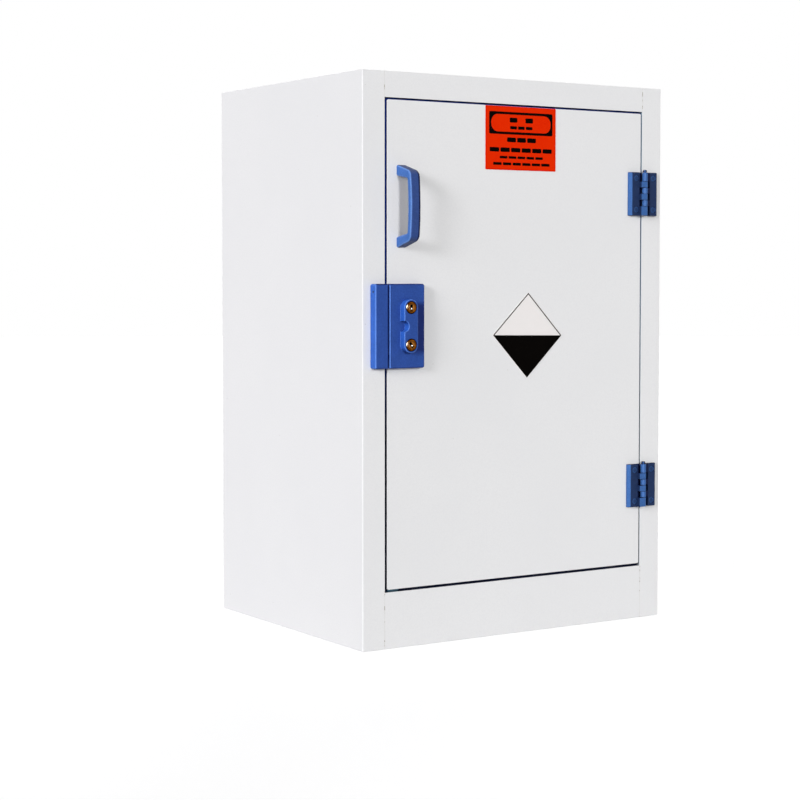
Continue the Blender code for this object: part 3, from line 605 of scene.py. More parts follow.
@dataclass(frozen=True)
class SheetPlastic:
    """Extruded white sheet, faintly clouded: orange peel, shallow waves, stray specks and dirty seams."""

    body: Colour = (0.800, 0.800, 0.802)
    cloud: Colour = (0.785, 0.786, 0.790)
    grain: Colour = (0.772, 0.772, 0.778)
    speck: Colour = (0.42, 0.40, 0.37)
    seam_dirt: Colour = (0.30, 0.24, 0.19)
    seam_shade: Colour = (0.62, 0.58, 0.53)
    seam_tint: float = 0.22
    seam: float = 0.2551
    seam_half_width: float = 0.0009
    seam_core: float = 0.4
    seam_blur: float = 0.0004
    sheet_rear: float = -0.2215
    rear_blur: float = 0.0005
    top_rail_start: float = 0.8498
    bottom_rail_end: float = 0.0882
    roughness: float = 0.46
    gloss_level: float = 0.25
    peel_depth: float = 0.00012
    wave_depth: float = 0.0004
    dash_scale: Place = (60.0, 60.0, 110.0)
    scuff_scale: Place = (18.0, 18.0, 60.0)

    def seam_share(self, recipe: Recipe) -> Socket:
        """How near a spot of the front sheets is to one of the two upright seams, from 0 to 1."""
        parts = recipe.node("SeparateXYZ", {"Vector": recipe.place})
        away = recipe.step("ABSOLUTE", parts.outputs["X"], 0.0)
        off = recipe.step("ABSOLUTE", recipe.step("SUBTRACT", away, self.seam), 0.0)
        near = recipe.spread(off, self.seam_half_width * self.seam_core, self.seam_half_width, 1.0, 0.0)
        rear_end = self.sheet_rear + self.rear_blur
        front = recipe.spread(parts.outputs["Y"], self.sheet_rear, rear_end, 1.0, 0.0)
        height = parts.outputs["Z"]
        top = recipe.spread(height, self.top_rail_start, self.top_rail_start + self.seam_blur)
        bottom_start = self.bottom_rail_end - self.seam_blur
        bottom = recipe.spread(height, bottom_start, self.bottom_rail_end, 1.0, 0.0)
        beside_rail = recipe.step("MAXIMUM", top, bottom)
        return recipe.step("MULTIPLY", recipe.step("MULTIPLY", near, front), beside_rail)

    def material(self, name: str) -> Material:
        """Build the node material."""
        recipe = Recipe(name)
        clouds = recipe.spread(recipe.noise(5.0, 3.0), 0.38, 0.66)
        grain = recipe.spread(recipe.noise(420.0, 2.0), 0.40, 0.75)
        sheet_colour = recipe.mixed(grain, recipe.mixed(clouds, self.body, self.cloud), self.grain)
        specks = recipe.spread(recipe.noise(160.0, 1.0), 0.815, 0.85, 0.0, 0.5)
        speckled = recipe.mixed(specks, sheet_colour, self.speck)
        seam = self.seam_share(recipe)
        shaded = recipe.mixed(recipe.step("MULTIPLY", seam, self.seam_tint), speckled, self.seam_shade)
        broken = recipe.noise(1.0, 3.0, recipe.stretched(self.dash_scale))
        dashes = recipe.spread(broken, 0.55, 0.63, 0.0, 0.85)
        colour = recipe.mixed(recipe.step("MULTIPLY", seam, dashes), shaded, self.seam_dirt)
        scuffs = recipe.noise(1.0, 5.0, recipe.stretched(self.scuff_scale))
        gloss = recipe.spread(scuffs, 0.35, 0.7, self.roughness - 0.05, self.roughness + 0.10)
        waves = recipe.bump(recipe.noise(7.0, 1.0), self.wave_depth)
        peel = recipe.bump(recipe.noise(330.0, 2.0), self.peel_depth, waves)
        return recipe.finish(colour, gloss, peel, self.gloss_level)


@dataclass(frozen=True)
class WeldPlastic:
    """Weld rod: the sheet's plastic melted once, so a shade warmer and shinier, with crosswise ripples."""

    body: Colour = (0.790, 0.783, 0.765)
    scorch: Colour = (0.60, 0.55, 0.46)
    roughness: float = 0.30
    gloss_level: float = 0.5
    ripple_depth: float = 0.0002

    def material(self, name: str) -> Material:
        """Build the node material."""
        recipe = Recipe(name)
        burnt = recipe.spread(recipe.noise(45.0, 4.0), 0.52, 0.74, 0.0, 0.5)
        colour = recipe.mixed(burnt, self.body, self.scorch)
        smears = recipe.noise(120.0, 2.0)
        gloss = recipe.spread(smears, 0.3, 0.7, self.roughness - 0.06, self.roughness + 0.12)
        ripples = recipe.bump(recipe.noise(380.0, 3.0), self.ripple_depth)
        return recipe.finish(colour, gloss, ripples, self.gloss_level)


@dataclass(frozen=True)
class BossShadow:
    """A painted shadow on a flat face against the right side of a capsule-shaped boss, as the boss would cast
    it.
    """

    middle: Place
    half_pitch: float
    radius: float
    drop: float = 0.0030
    strength: float = 0.90
    boss_share: float = 0.64
    side_from: float = 0.3
    fade_from: float = 0.4
    fade_to: float = 1.1
    behind: tuple[float, float] = (0.004, 0.008)

    @classmethod
    def beside_lock(cls) -> "BossShadow":
        """The painted shadow beside the boss that holds the two lock cylinders."""
        upper, lower = [sum(reach(f"lock_barrel_{row}")) / 2 for row in ("upper", "lower")]
        barrel_width = reach("lock_barrel_upper")[1][0] - reach("lock_barrel_upper")[0][0]
        middle = (float(upper[0]), float(reach("lock_case")[0][1]), float(upper[2] + lower[2]) / 2)
        return cls(middle, float(upper[2] - lower[2]) / 2, float(barrel_width) * cls.boss_share)

    def share(self, recipe: Recipe) -> Socket:
        """How much painted shadow a spot of the flat face gets.

        With r the boss's radius and h half the pitch of the locks, the painted shadow comes up between
        side_from r and r to the right of the boss's middle. Above and below the middle it fades between h +
        fade_from r and h + fade_to r. It lies a little low, and never on the boss's own face.
        """
        x, y, z = self.middle
        parts = recipe.node("SeparateXYZ", {"Vector": recipe.centred((x, y, z - self.drop))})
        away = recipe.step("ABSOLUTE", parts.outputs["Z"], 0.0)
        start, end = [self.half_pitch + self.radius * share for share in (self.fade_from, self.fade_to)]
        upright = recipe.spread(away, start, end, self.strength, 0.0)
        right = recipe.spread(parts.outputs["X"], self.radius * self.side_from, self.radius)
        behind = recipe.spread(parts.outputs["Y"], *self.behind)
        return recipe.step("MULTIPLY", recipe.step("MULTIPLY", upright, right), behind)


@dataclass(frozen=True)
class MouldedPlastic:
    """Moulded plastic: a dull front, smoother walls painted lighter, and ledges and edges with painted light
    and shade.
    """

    # Besides the front colour, the other four are lit and shaded copies of it: painted light on sideways
    # walls, painted shade on ledges, a painted highlight for edges, and painted shade for edges and for the
    # boss's painted shadow
    front: Colour
    wall: Colour
    ledge: Colour
    painted_highlight: Colour
    deep: Colour
    roughness: float = 0.50
    wall_roughness: float = 0.36
    pebble_scale: float = 620.0
    pebble_depth: float = 0.00016
    mottle: float = 0.10
    gloss_level: float = 0.12
    boss_shadow: BossShadow | None = None

    def material(self, name: str) -> Material:
        """Build the node material."""
        recipe = Recipe(name)
        # Painted light and shade: faces that look sideways take the lighter wall colour, faces that look up
        # or down the ledge colour
        sideways = recipe.spread(recipe.attribute(WALL), 0.62, 0.92)
        upward = recipe.spread(recipe.attribute(LEDGE), 0.30, 0.80)
        flats = recipe.mixed(upward, recipe.mixed(sideways, self.front, self.wall), self.ledge)
        edge = recipe.attribute(EDGE)
        # A painted highlight on edges marked 1, and painted shade on edges marked -1
        painted_highlight = recipe.mixed(recipe.spread(edge, 0.55, 0.90), flats, self.painted_highlight)
        toned = recipe.mixed(recipe.spread(edge, -0.42, -0.18, 1.0, 0.0), painted_highlight, self.deep)
        # The painted shadow beside the boss, in the deep colour
        if self.boss_shadow is not None:
            toned = recipe.mixed(self.boss_shadow.share(recipe), toned, self.deep)
        half_mottle = self.mottle / 2
        coarse = recipe.spread(recipe.noise(45.0, 3.0), 0.3, 0.7, 1.0 - half_mottle, 1.0 + half_mottle)
        fine = recipe.spread(recipe.noise(460.0, 3.0), 0.3, 0.7, 1.0 - self.mottle, 1.0 + self.mottle)
        shade = recipe.step("MULTIPLY", coarse, fine)
        colour = recipe.vector_step("SCALE", {0: toned, "Scale": shade}).outputs[0]
        gloss = recipe.spread(sideways, 0.0, 1.0, self.roughness, self.wall_roughness)
        smears = recipe.spread(recipe.noise(35.0, 4.0), 0.3, 0.7, -0.05, 0.08)
        pebbles = recipe.bump(recipe.noise(self.pebble_scale, 2.0), self.pebble_depth)
        roughness = recipe.step("ADD", gloss, smears)
        return recipe.finish(colour, roughness, pebbles, self.gloss_level)


@dataclass(frozen=True)
class TurnedMetal:
    """Metal turned about an axis along Y: tool rings, tarnish, and a dark rim of tarnish and painted shade
    with a painted highlight on its left.
    """

    centre: Place
    bright: Colour
    tarnish: Colour
    # The rim colour darkens the outer ring: tarnish and painted shade
    rim: Colour
    rim_start: float
    rim_blur: float = 0.0007
    # A pale painted highlight on the left side of the rim
    painted_glint: Colour = (0.760, 0.640, 0.480)
    painted_glint_way: Place = (-0.985, 0.0, 0.174)
    painted_glint_share: float = 0.91
    roughness: float = 0.30
    ring_scale: float = 1500.0
    ring_depth: float = 0.00008

    def material(self, name: str) -> Material:
        """Build the node material."""
        recipe = Recipe(name)
        spot = recipe.centred(self.centre)
        flat = recipe.vector_step("MULTIPLY", {0: spot, 1: (1.0, 0.0, 1.0)}).outputs[0]
        radius = recipe.vector_step("LENGTH", {0: flat}).outputs["Value"]
        apart = recipe.node("CombineXYZ", {"X": radius}).outputs[0]
        rings = recipe.noise(self.ring_scale, 2.0, apart)
        patches = recipe.spread(recipe.noise(320.0, 4.0), 0.36, 0.64)
        colour = recipe.mixed(patches, self.bright, self.tarnish)
        lines = recipe.spread(rings, 0.3, 0.7, 0.0, 0.45)
        # The outer ring past rim_start takes the rim colour: tarnish and painted shade
        outward = recipe.spread(radius, self.rim_start, self.rim_start + self.rim_blur)
        rimmed = recipe.mixed(outward, recipe.mixed(lines, colour, self.tarnish), self.rim)
        # The painted highlight: the part of that ring that faces left
        lit = recipe.vector_step("DOT_PRODUCT", {0: flat, 1: self.painted_glint_way}).outputs["Value"]
        leftward = recipe.spread(recipe.step("DIVIDE", lit, radius), self.painted_glint_share, 1.0)
        glinted = recipe.mixed(recipe.step("MULTIPLY", outward, leftward), rimmed, self.painted_glint)
        gloss = recipe.spread(patches, 0.0, 1.0, self.roughness, self.roughness + 0.18)
        return recipe.finish(glinted, gloss, recipe.bump(rings, self.ring_depth), metal=1.0)


@dataclass(frozen=True)
class ZincSteel:
    """Plated steel: soft grey-blue clouds and fine scratches."""

    bright: Colour = (0.56, 0.57, 0.60)
    dull: Colour = (0.36, 0.36, 0.38)
    roughness: float = 0.32
    scratch_scale: Place = (300.0, 300.0, 2600.0)
    scratch_depth: float = 0.00004

    def material(self, name: str) -> Material:
        """Build the node material."""
        recipe = Recipe(name)
        clouds = recipe.spread(recipe.noise(210.0, 4.0), 0.35, 0.68)
        colour = recipe.mixed(clouds, self.bright, self.dull)
        scratches = recipe.noise(1.0, 3.0, recipe.stretched(self.scratch_scale))
        gloss = recipe.spread(scratches, 0.3, 0.7, self.roughness - 0.06, self.roughness + 0.16)
        relief = recipe.bump(scratches, self.scratch_depth)
        return recipe.finish(colour, gloss, relief, metal=1.0)


@dataclass(frozen=True)
class PrintedFilm:
    """Printed vinyl film: even ink with a fine dot grain that runs deeper in soft clouds, and a satin face.
    """

    ink: Colour
    deep: Colour
    roughness: float = 0.40
    gloss_level: float = 0.01
    relief_depth: float = 0.00004

    def material(self, name: str) -> Material:
        """Build the node material."""
        recipe = Recipe(name)
        grain = recipe.spread(recipe.noise(700.0, 2.0), 0.35, 0.7)
        clouds = recipe.spread(recipe.noise(28.0, 3.0), 0.35, 0.7)
        depth = recipe.step("MULTIPLY", grain, clouds)
        colour = recipe.mixed(depth, self.ink, self.deep)
        gloss = recipe.spread(clouds, 0.0, 1.0, self.roughness - 0.04, self.roughness + 0.08)
        relief = recipe.bump(recipe.noise(260.0, 2.0), self.relief_depth)
        return recipe.finish(colour, gloss, relief, self.gloss_level)


@dataclass(frozen=True)
class SealRubber:
    """Seal strip: near-black with a dusty bloom, navy higher up, and a pale offcut at its lower left."""

    body: Colour = (0.0008, 0.0018, 0.0110)
    bloom: Colour = (0.0020, 0.0045, 0.0220)
    upper: Colour = (0.0010, 0.0130, 0.1500)
    upper_from: float = 0.330
    upper_full: float = 0.580
    offcut: Colour = (0.060, 0.120, 0.160)
    offcut_start: float = -0.2505
    offcut_end: float = -0.2290
    offcut_top: float = 0.0930
    offcut_blur: float = 0.002
    offcut_top_blur: float = 0.0005
    roughness: float = 0.62
    gloss_level: float = 0.06
    grain_depth: float = 0.00006

    def material(self, name: str) -> Material:
        """Build the node material."""
        recipe = Recipe(name)
        dust = recipe.spread(recipe.noise(55.0, 5.0), 0.42, 0.72)
        parts = recipe.node("SeparateXYZ", {"Vector": recipe.place})
        height = recipe.spread(parts.outputs["Z"], self.upper_from, self.upper_full)
        strip = recipe.mixed(height, recipe.mixed(dust, self.body, self.bloom), self.upper)
        across, blur = parts.outputs["X"], self.offcut_blur
        after = recipe.spread(across, self.offcut_start, self.offcut_start + blur)
        before = recipe.spread(across, self.offcut_end - blur, self.offcut_end, 1.0, 0.0)
        low_start = self.offcut_top - self.offcut_top_blur
        low = recipe.spread(parts.outputs["Z"], low_start, self.offcut_top, 1.0, 0.0)
        patch = recipe.step("MULTIPLY", recipe.step("MULTIPLY", after, before), low)
        colour = recipe.mixed(patch, strip, self.offcut)
        gloss = recipe.spread(dust, 0.0, 1.0, self.roughness - 0.08, self.roughness + 0.12)
        grain = recipe.bump(recipe.noise(900.0, 2.0), self.grain_depth)
        return recipe.finish(colour, gloss, grain, self.gloss_level)


class Finishes:
    """Every finish of the cabinet, made once and shared by its pieces."""

    def __init__(self) -> None:
        """Make the materials."""
        self.white = SheetPlastic().material("white_sheet_plastic")
        self.matt_white = SheetPlastic(roughness=0.66, gloss_level=0.02).material("matt_white_sheet_plastic")
        self.weld = WeldPlastic().material("weld_rod_plastic")
        # In the moulded blues the wall, ledge, highlight and deep colours are lit and shaded copies of the
        # front: painted light, painted highlight and painted shade; the lock's blue also carries the painted
        # shadow beside its boss
        self.lock_blue = MouldedPlastic(
            front=(0.0235, 0.0700, 0.302), wall=(0.031, 0.124, 0.515), ledge=(0.014, 0.042, 0.220),
            painted_highlight=(0.088, 0.205, 0.620), deep=(0.006, 0.016, 0.120), mottle=0.13,
            boss_shadow=BossShadow.beside_lock(),
        ).material("lock_moulded_blue")
        self.handle_blue = MouldedPlastic(
            front=(0.030, 0.064, 0.220), wall=(0.050, 0.145, 0.440), ledge=(0.050, 0.074, 0.185),
            painted_highlight=(0.110, 0.230, 0.560), deep=(0.004, 0.010, 0.060), mottle=0.12,
        ).material("handle_moulded_blue")
        self.hinge_blue = MouldedPlastic(
            front=(0.0120, 0.0280, 0.0860), wall=(0.042, 0.124, 0.350), ledge=(0.005, 0.014, 0.070),
            painted_highlight=(0.160, 0.300, 0.660), deep=(0.002, 0.006, 0.040), mottle=0.13,
        ).material("hinge_moulded_blue")
        self.stop_blue = MouldedPlastic(
            front=(0.018, 0.056, 0.240), wall=(0.024, 0.080, 0.320), ledge=(0.014, 0.045, 0.200),
            painted_highlight=(0.040, 0.110, 0.400), deep=(0.012, 0.036, 0.170),
        ).material("stop_moulded_blue")
        self.seal = SealRubber().material("door_seal_rubber")
        # The frame seal is near-black rubber that also paints the shade in the door's gaps; its hinge-side
        # copy is pale as painted light on that gap's lit far wall
        self.edge_seal = SealRubber(
            body=(0.002, 0.005, 0.025), bloom=(0.005, 0.010, 0.040), upper=(0.002, 0.013, 0.120)
        ).material("frame_seal_rubber")
        self.lit_edge_seal = SealRubber(
            body=(0.500, 0.560, 0.600), bloom=(0.580, 0.630, 0.660), upper=(0.280, 0.380, 0.450)
        ).material("frame_seal_rubber_hinge_side")
        self.steel = ZincSteel().material("plated_steel")
        # Near-white steel for the keyway's wafer, a painted highlight
        painted_highlight = ZincSteel(bright=(0.92, 0.92, 0.90), dull=(0.74, 0.74, 0.74))
        self.bright_steel = painted_highlight.material("painted_glint_steel")
        blackened = ZincSteel(bright=(0.09, 0.085, 0.08), dull=(0.04, 0.038, 0.035))
        self.dark_steel = blackened.material("blackened_steel")
        # Near-black steel for the inside of the keyways: painted shade
        shadowed = ZincSteel(bright=(0.012, 0.010, 0.009), dull=(0.004, 0.004, 0.004))
        self.dark_keyway = shadowed.material("dark_keyway")
        orange = PrintedFilm(ink=(0.775, 0.025, 0.0004), deep=(0.715, 0.016, 0.0003))
        self.orange = orange.material("orange_film")
        red = PrintedFilm(ink=(0.725, 0.009, 0.0005), deep=(0.670, 0.0055, 0.0004))
        self.red_margin = red.material("red_margin")
        black = PrintedFilm(ink=(0.0014, 0.0010, 0.0008), deep=(0.0026, 0.0020, 0.0016))
        self.black_ink = black.material("black_ink")
        white = PrintedFilm(ink=(0.850, 0.820, 0.805), deep=(0.810, 0.780, 0.765))
        self.white_film = white.material("white_film")
        keyline = PrintedFilm(ink=(0.020, 0.015, 0.013), deep=(0.034, 0.027, 0.024))
        self.keyline_ink = keyline.material("keyline_ink")


def turning(part: Array) -> Array:
    """How far a rounded edge is between two faces: 2 p sqrt(1 - p^2), with p one part of its unit normal."""
    return 2 * np.abs(part) * np.sqrt(np.clip(1 - part**2, 0, 1))


def plain_tones(middles: Array, normals: Array) -> Tones:
    """The tones of a moulded block, which paint light and shade on it.

    With (x, y, z) the normal, the wall is |x| and the ledge |z|, which the finish paints as light and shade.
    Edges that turn left get a painted highlight, and those that turn right or up get painted shade.

    Args:
        middles: the faces' middles.
        normals: their unit normals.

    Returns:
        The wall, the ledge and the edge.
    """
    x, z = normals[:, 0], normals[:, 2]
    upright = np.where(z > 0.3, -turning(z), 0.0)
    return np.abs(x), np.abs(z), np.where(np.abs(x) > 0.3, -np.sign(x) * turning(x), upright)


def keep_tones(mesh: bpy.types.Mesh, rule: ToneRule) -> None:
    """Keep three numbers on every face, as the rule gives them from its middle and its normal."""
    normals, middles = np.empty((2, len(mesh.polygons) * 3))
    mesh.polygons.foreach_get("normal", normals)
    mesh.polygons.foreach_get("center", middles)
    normals, middles = normals.reshape(-1, 3), middles.reshape(-1, 3)
    for name, values in zip((WALL, LEDGE, EDGE), rule(middles, normals)):
        mesh.attributes.new(name, "FLOAT", "FACE").data.foreach_set("value", values)


def fit(
    name: str, shell: Shell, body: Body, finishes: Sequence[Material],
    nodes: Sequence[str] = (), rule: ToneRule = plain_tones,
) -> Piece:
    """Turn a surface into a dressed piece that rides on its body.

    Args:
        name: the piece's name.
        shell: its surface, in the frame's coordinates.
        body: the body it moves with.
        finishes: one material for each layer of the surface.
        nodes: the CAD nodes that it stands for.
        rule: the piece's rule for the tones of its faces.

    Returns:
        The piece's object.
    """
    mesh = shell.to_mesh(name)
    for finish in finishes:
        mesh.materials.append(finish)
    mesh.shade_smooth()
    mesh.set_sharp_from_angle(angle=SHARP_ANGLE)
    keep_tones(mesh, rule)
    piece = bpy.data.objects.new(name, mesh)
    show(piece)
    weighted = piece.modifiers.new("Flat faces stay flat", "WEIGHTED_NORMAL")
    weighted.keep_sharp = True
    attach(piece, body.value)
    if nodes:
        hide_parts(*nodes)
    return piece


def dress_node(node: str, finish: Material) -> Piece:
    """Give a CAD node that stays in view its finish."""
    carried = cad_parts[node]
    if not carried.data.materials:
        carried.data.materials.append(finish)
    for held in carried.material_slots:
        held.material = finish
    return carried


# Sub-assemblies


@dataclass
class Carcass:
    """The welded box: bent sides, top, base, back, front rails, spill floor and the shelf's rails."""

    finishes: Finishes
    wall: float = 0.008
    sheet_corner: float = 0.0009
    sheet_rim: float = 0.0005
    cut_radius: float = 0.0008
    inner_radius: float = 0.0007
    bend_radius: float = 0.0016
    seam_rim: float = 0.00025
    seam_gap: float = 0.00012
    bead_radius: float = 0.0026
    rail_bead_start: float = 0.03

    def side(self, hand: Hand) -> Piece:
        """A side wall and its front post, bent from one sheet.

        The outline, seen from above, goes along the outer face, round the bend, across the post and back
        along the inner face. It is carried from the floor to the top.

        Args:
            hand: the side that it stands on.

        Returns:
            The piece's object.
        """
        node = f"side_panel_{hand.name.lower()}"
        low, high = reach(node)
        rail = reach("top_front_rail")
        outer = low[0] if hand is Hand.LEFT else high[0]
        inner = rail[0][0] - self.seam_gap if hand is Hand.LEFT else rail[1][0] + self.seam_gap
        thick = rail[1][1] - rail[0][1]
        wall = outer - hand.value * thick
        front, post_back, back = low[1], low[1] + thick, high[1]
        corners = [(outer, back), (outer, front), (inner, front), (inner, post_back), (wall, post_back)]
        corners.append((wall, back))
        cut, inside = self.cut_radius, self.inner_radius
        radii = [cut, self.bend_radius, self.seam_rim, inside, inside, cut]
        outline = rounded(corners, radii, CORNER_STEPS + 2)
        shell = slab(outline, Along.Z, low[2], high[2], self.sheet_rim)
        name = f"{hand.name.lower()}_side_sheet"
        return fit(name, shell, Body.CABINET, [self.finishes.white], [node])

    def flats(self) -> list[Piece]:
        """The flat sheets, each filling the place of its node, with softened rims. The top one is matt."""
        names = {
            "top_panel": "top_sheet",
            "base_plate": "base_sheet",
            "back_panel": "back_sheet",
            "top_front_rail": "top_rail_sheet",
            "bottom_front_rail": "bottom_rail_sheet",
            "spill_tray_floor": "spill_floor_sheet",
            "shelf_rail_left": "shelf_rail_bar_left",
            "shelf_rail_right": "shelf_rail_bar_right",
        }
        made = []
        for node, name in names.items():
            rims = (self.sheet_corner, self.sheet_rim)
            if node.endswith("front_rail"):
                rims = (self.seam_rim, self.seam_rim)
            finish = self.finishes.matt_white if node == "top_panel" else self.finishes.white
            made.append(fit(name, sheet(*reach(node), *rims), Body.CABINET, [finish], [node]))
        return made

    def beads(self) -> list[Piece]:
        """Weld beads in the inner corners, at the spill floor, the back, the top and the shelf's rails."""
        left = reach("side_panel_left")[0][0] + self.wall
        right = reach("side_panel_right")[1][0] - self.wall
        front, back = reach("bottom_front_rail")[1][1], reach("back_panel")[0][1]
        floor, ceiling = reach("spill_tray_floor")[1][2], reach("top_panel")[0][2]
        rail_low, rail_high = reach("shelf_rail_left")
        rail_front, rail_level = front + self.rail_bead_start, rail_low[2]
        runs = []
        for level, up, label in ((floor, (0, 0, 1), "spill"), (ceiling, (0, 0, -1), "top")):
            runs += [
                (f"{label}_bead_front", (left, front, level), (right, front, level), (0, 1, 0), up),
                (f"{label}_bead_back", (left, back, level), (right, back, level), (0, -1, 0), up),
                (f"{label}_bead_left", (left, front, level), (left, back, level), (1, 0, 0), up),
                (f"{label}_bead_right", (right, front, level), (right, back, level), (-1, 0, 0), up),
            ]
        for side, way, label in ((left, (1, 0, 0), "left"), (right, (-1, 0, 0), "right")):
            start, end = (side, rail_front, rail_level), (side, rail_high[1], rail_level)
            runs += [
                (f"back_bead_{label}", (side, back, floor), (side, back, ceiling), way, (0, -1, 0)),
                (f"rail_bead_{label}", start, end, way, (0, 0, -1)),
            ]
        made = []
        for name, start, end, one_wall, other_wall in runs:
            shell = weld_bead(start, end, one_wall, other_wall, self.bead_radius)
            made.append(fit(name, shell, Body.CABINET, [self.finishes.weld]))
        return made

    def build(self) -> list[Piece]:
        """Build and dress every piece."""
        return [self.side(Hand.LEFT), self.side(Hand.RIGHT), *self.flats(), *self.beads()]


@dataclass
class DoorFrameTrim:
    """What the opening carries: four blue stops behind its edges and a thin seal on the edges themselves."""

    finishes: Finishes
    stop_radius: float = 0.0012
    stop_lip: float = 0.012
    stop_rim: float = 0.0006
    seal_corner: float = 0.0020
    seal_width: float = 0.0008
    seal_rear: float = 0.0002
    seal_setback: float = 0.0008
    seal_inlet: float = 0.0006

    def stop(self, side: str) -> Piece:
        """One stop, an angle whose backing lies behind the frame and whose lip meets the door.

        The profile is the angle's outline with rounded corners, carried along the opening's edge.

        Args:
            side: left, right, top or bottom.

        Returns:
            The piece's object.
        """
        low, high = reach(f"door_stop_{side}")
        upright = side in ("left", "right")
        near, far = (low[0], high[0]) if upright else (low[2], high[2])
        outward = 1.0 if side in ("right", "top") else -1.0
        edge_out, edge_in = (far, near) if outward > 0 else (near, far)
        lip_front = reach("door_inner_skin")[1][1] + CLEARANCE
        opening = edge_out - outward * self.stop_lip
        backing = [(opening, low[1]), (edge_out, low[1]), (edge_out, high[1])]
        profile = [*backing, (edge_in, high[1]), (edge_in, lip_front), (opening, lip_front)]
        corners = profile if upright else [(y, z) for z, y in profile]
        axis, ends = (Along.Z, (low[2], high[2])) if upright else (Along.X, (low[0], high[0]))
        shell = slab(rounded(corners, self.stop_radius), axis, *ends, self.stop_rim)
        name = f"door_stop_angle_{side}"
        return fit(name, shell, Body.CABINET, [self.finishes.stop_blue], [f"door_stop_{side}"])

    def edge_seal(self) -> Piece:
        """A thin strip on the opening's edges, opposite the door's own seal and let into the top rail. Its
        near-black rubber also paints the shade in the gap, and on the hinge side it is pale as painted light.
        """
        rail_low, rail_high = reach("top_front_rail")
        bottom = reach("bottom_front_rail")[1][2]
        side = rail_high[0] + CLEARANCE
        front, back = rail_low[1] + self.seal_setback, rail_high[1] - self.seal_rear
        top = rail_low[2] + self.seal_inlet
        shell = frame_ring((-side, bottom), (side, top), self.seal_corner, self.seal_width, front, back)
        # Faces on the hinge side take the pale copy: painted light
        shell = shell.where(shell.centres()[:, 0] > side - 2 * self.seal_width, 1)
        finishes = [self.finishes.edge_seal, self.finishes.lit_edge_seal]
        return fit("frame_edge_seal", shell, Body.CABINET, finishes)

    def build(self) -> list[Piece]:
        """Build and dress every piece."""
        return [*(self.stop(side) for side in ("left", "right", "top", "bottom")), self.edge_seal()]


@dataclass
class Shelf:
    """The loose shelf, a shallow tray with rounded lips."""

    finishes: Finishes
    corner: float = 0.012
    wall: float = 0.005
    fillet: float = 0.003
    rim: float = 0.0012

    def build(self) -> list[Piece]:
        """Build the tray as rings: over the rounded base, up, over the lip, down and round into the floor."""
        low, high = reach("shelf")
        outline = rectangle(low[:2], high[:2], self.corner)
        inset, rise = quarter(self.rim)
        floor = low[2] + self.wall
        cove_level, cove_inset = quarter(self.fillet, CORNER_STEPS)
        insets = np.concatenate([inset, inset[::-1], self.wall - inset, self.wall + cove_inset])
        levels = np.concatenate([low[2] + rise, high[2] - rise[::-1], high[2] - rise, floor + cove_level])
        shell = Shell.stacked(stack(outline, Along.Z, insets, levels))
        return [fit("tray_shelf", shell, Body.SHELF, [self.finishes.white], ["shelf"])]


@dataclass
class DoorLeaf:
    """The door: outer sheet, four strips, inner sheet, and a seal that shows most on its left and below, as
    painted shade in those gaps.
    """

    finishes: Finishes
    corner: float = 0.0026
    front_rim: float = 0.0006
    rim: float = 0.0005
    liner_corner: float = 0.0020
    liner_rim: float = 0.0012
    strip_corner: float = 0.0008
    seal_corner: float = 0.0036
    seal_width: float = 0.0018
    # The outer sheet is drawn back on the left and below so that more near-black seal shows in those gaps:
    # painted shade
    left_cover: float = 0.0012
    right_cover: float = -0.0003
    top_cover: float = -0.0003
    bottom_cover: float = 0.0007

    def build(self) -> list[Piece]:
        """Build and dress the door's sheets and its seal."""
        low, high = reach("door_outer_skin")
        corner_low = (low[0] + self.left_cover, low[2] + self.bottom_cover)
        corner_high = (high[0] - self.right_cover, high[2] - self.top_cover)
        outline = rectangle(corner_low, corner_high, self.corner)
        skin = slab(outline, Along.Y, low[1], high[1], self.front_rim, self.rim)
        white = [self.finishes.white]
        made = [fit("door_front_sheet", skin, Body.DOOR, white, ["door_outer_skin"])]
        low, high = reach("door_inner_skin")
        outline = rectangle(low[[0, 2]], high[[0, 2]], self.liner_corner)
        liner = slab(outline, Along.Y, low[1], high[1], self.rim, self.liner_rim)
        made.append(fit("door_rear_sheet", liner, Body.DOOR, white, ["door_inner_skin"]))
        for side in ("left", "right", "top", "bottom"):
            node = f"door_frame_{side}"
            shell = sheet(*reach(node), corner=self.strip_corner, rim=self.rim)
            made.append(fit(f"door_strip_{side}", shell, Body.DOOR, white, [node]))
        low, high = reach("door_edge_seal")
        corners = low[[0, 2]], high[[0, 2]]
        seal = frame_ring(*corners, self.seal_corner, self.seal_width, low[1], high[1])
        black = [self.finishes.seal]
        made.append(fit("door_seal_strip", seal, Body.DOOR, black, ["door_edge_seal"]))
        return made


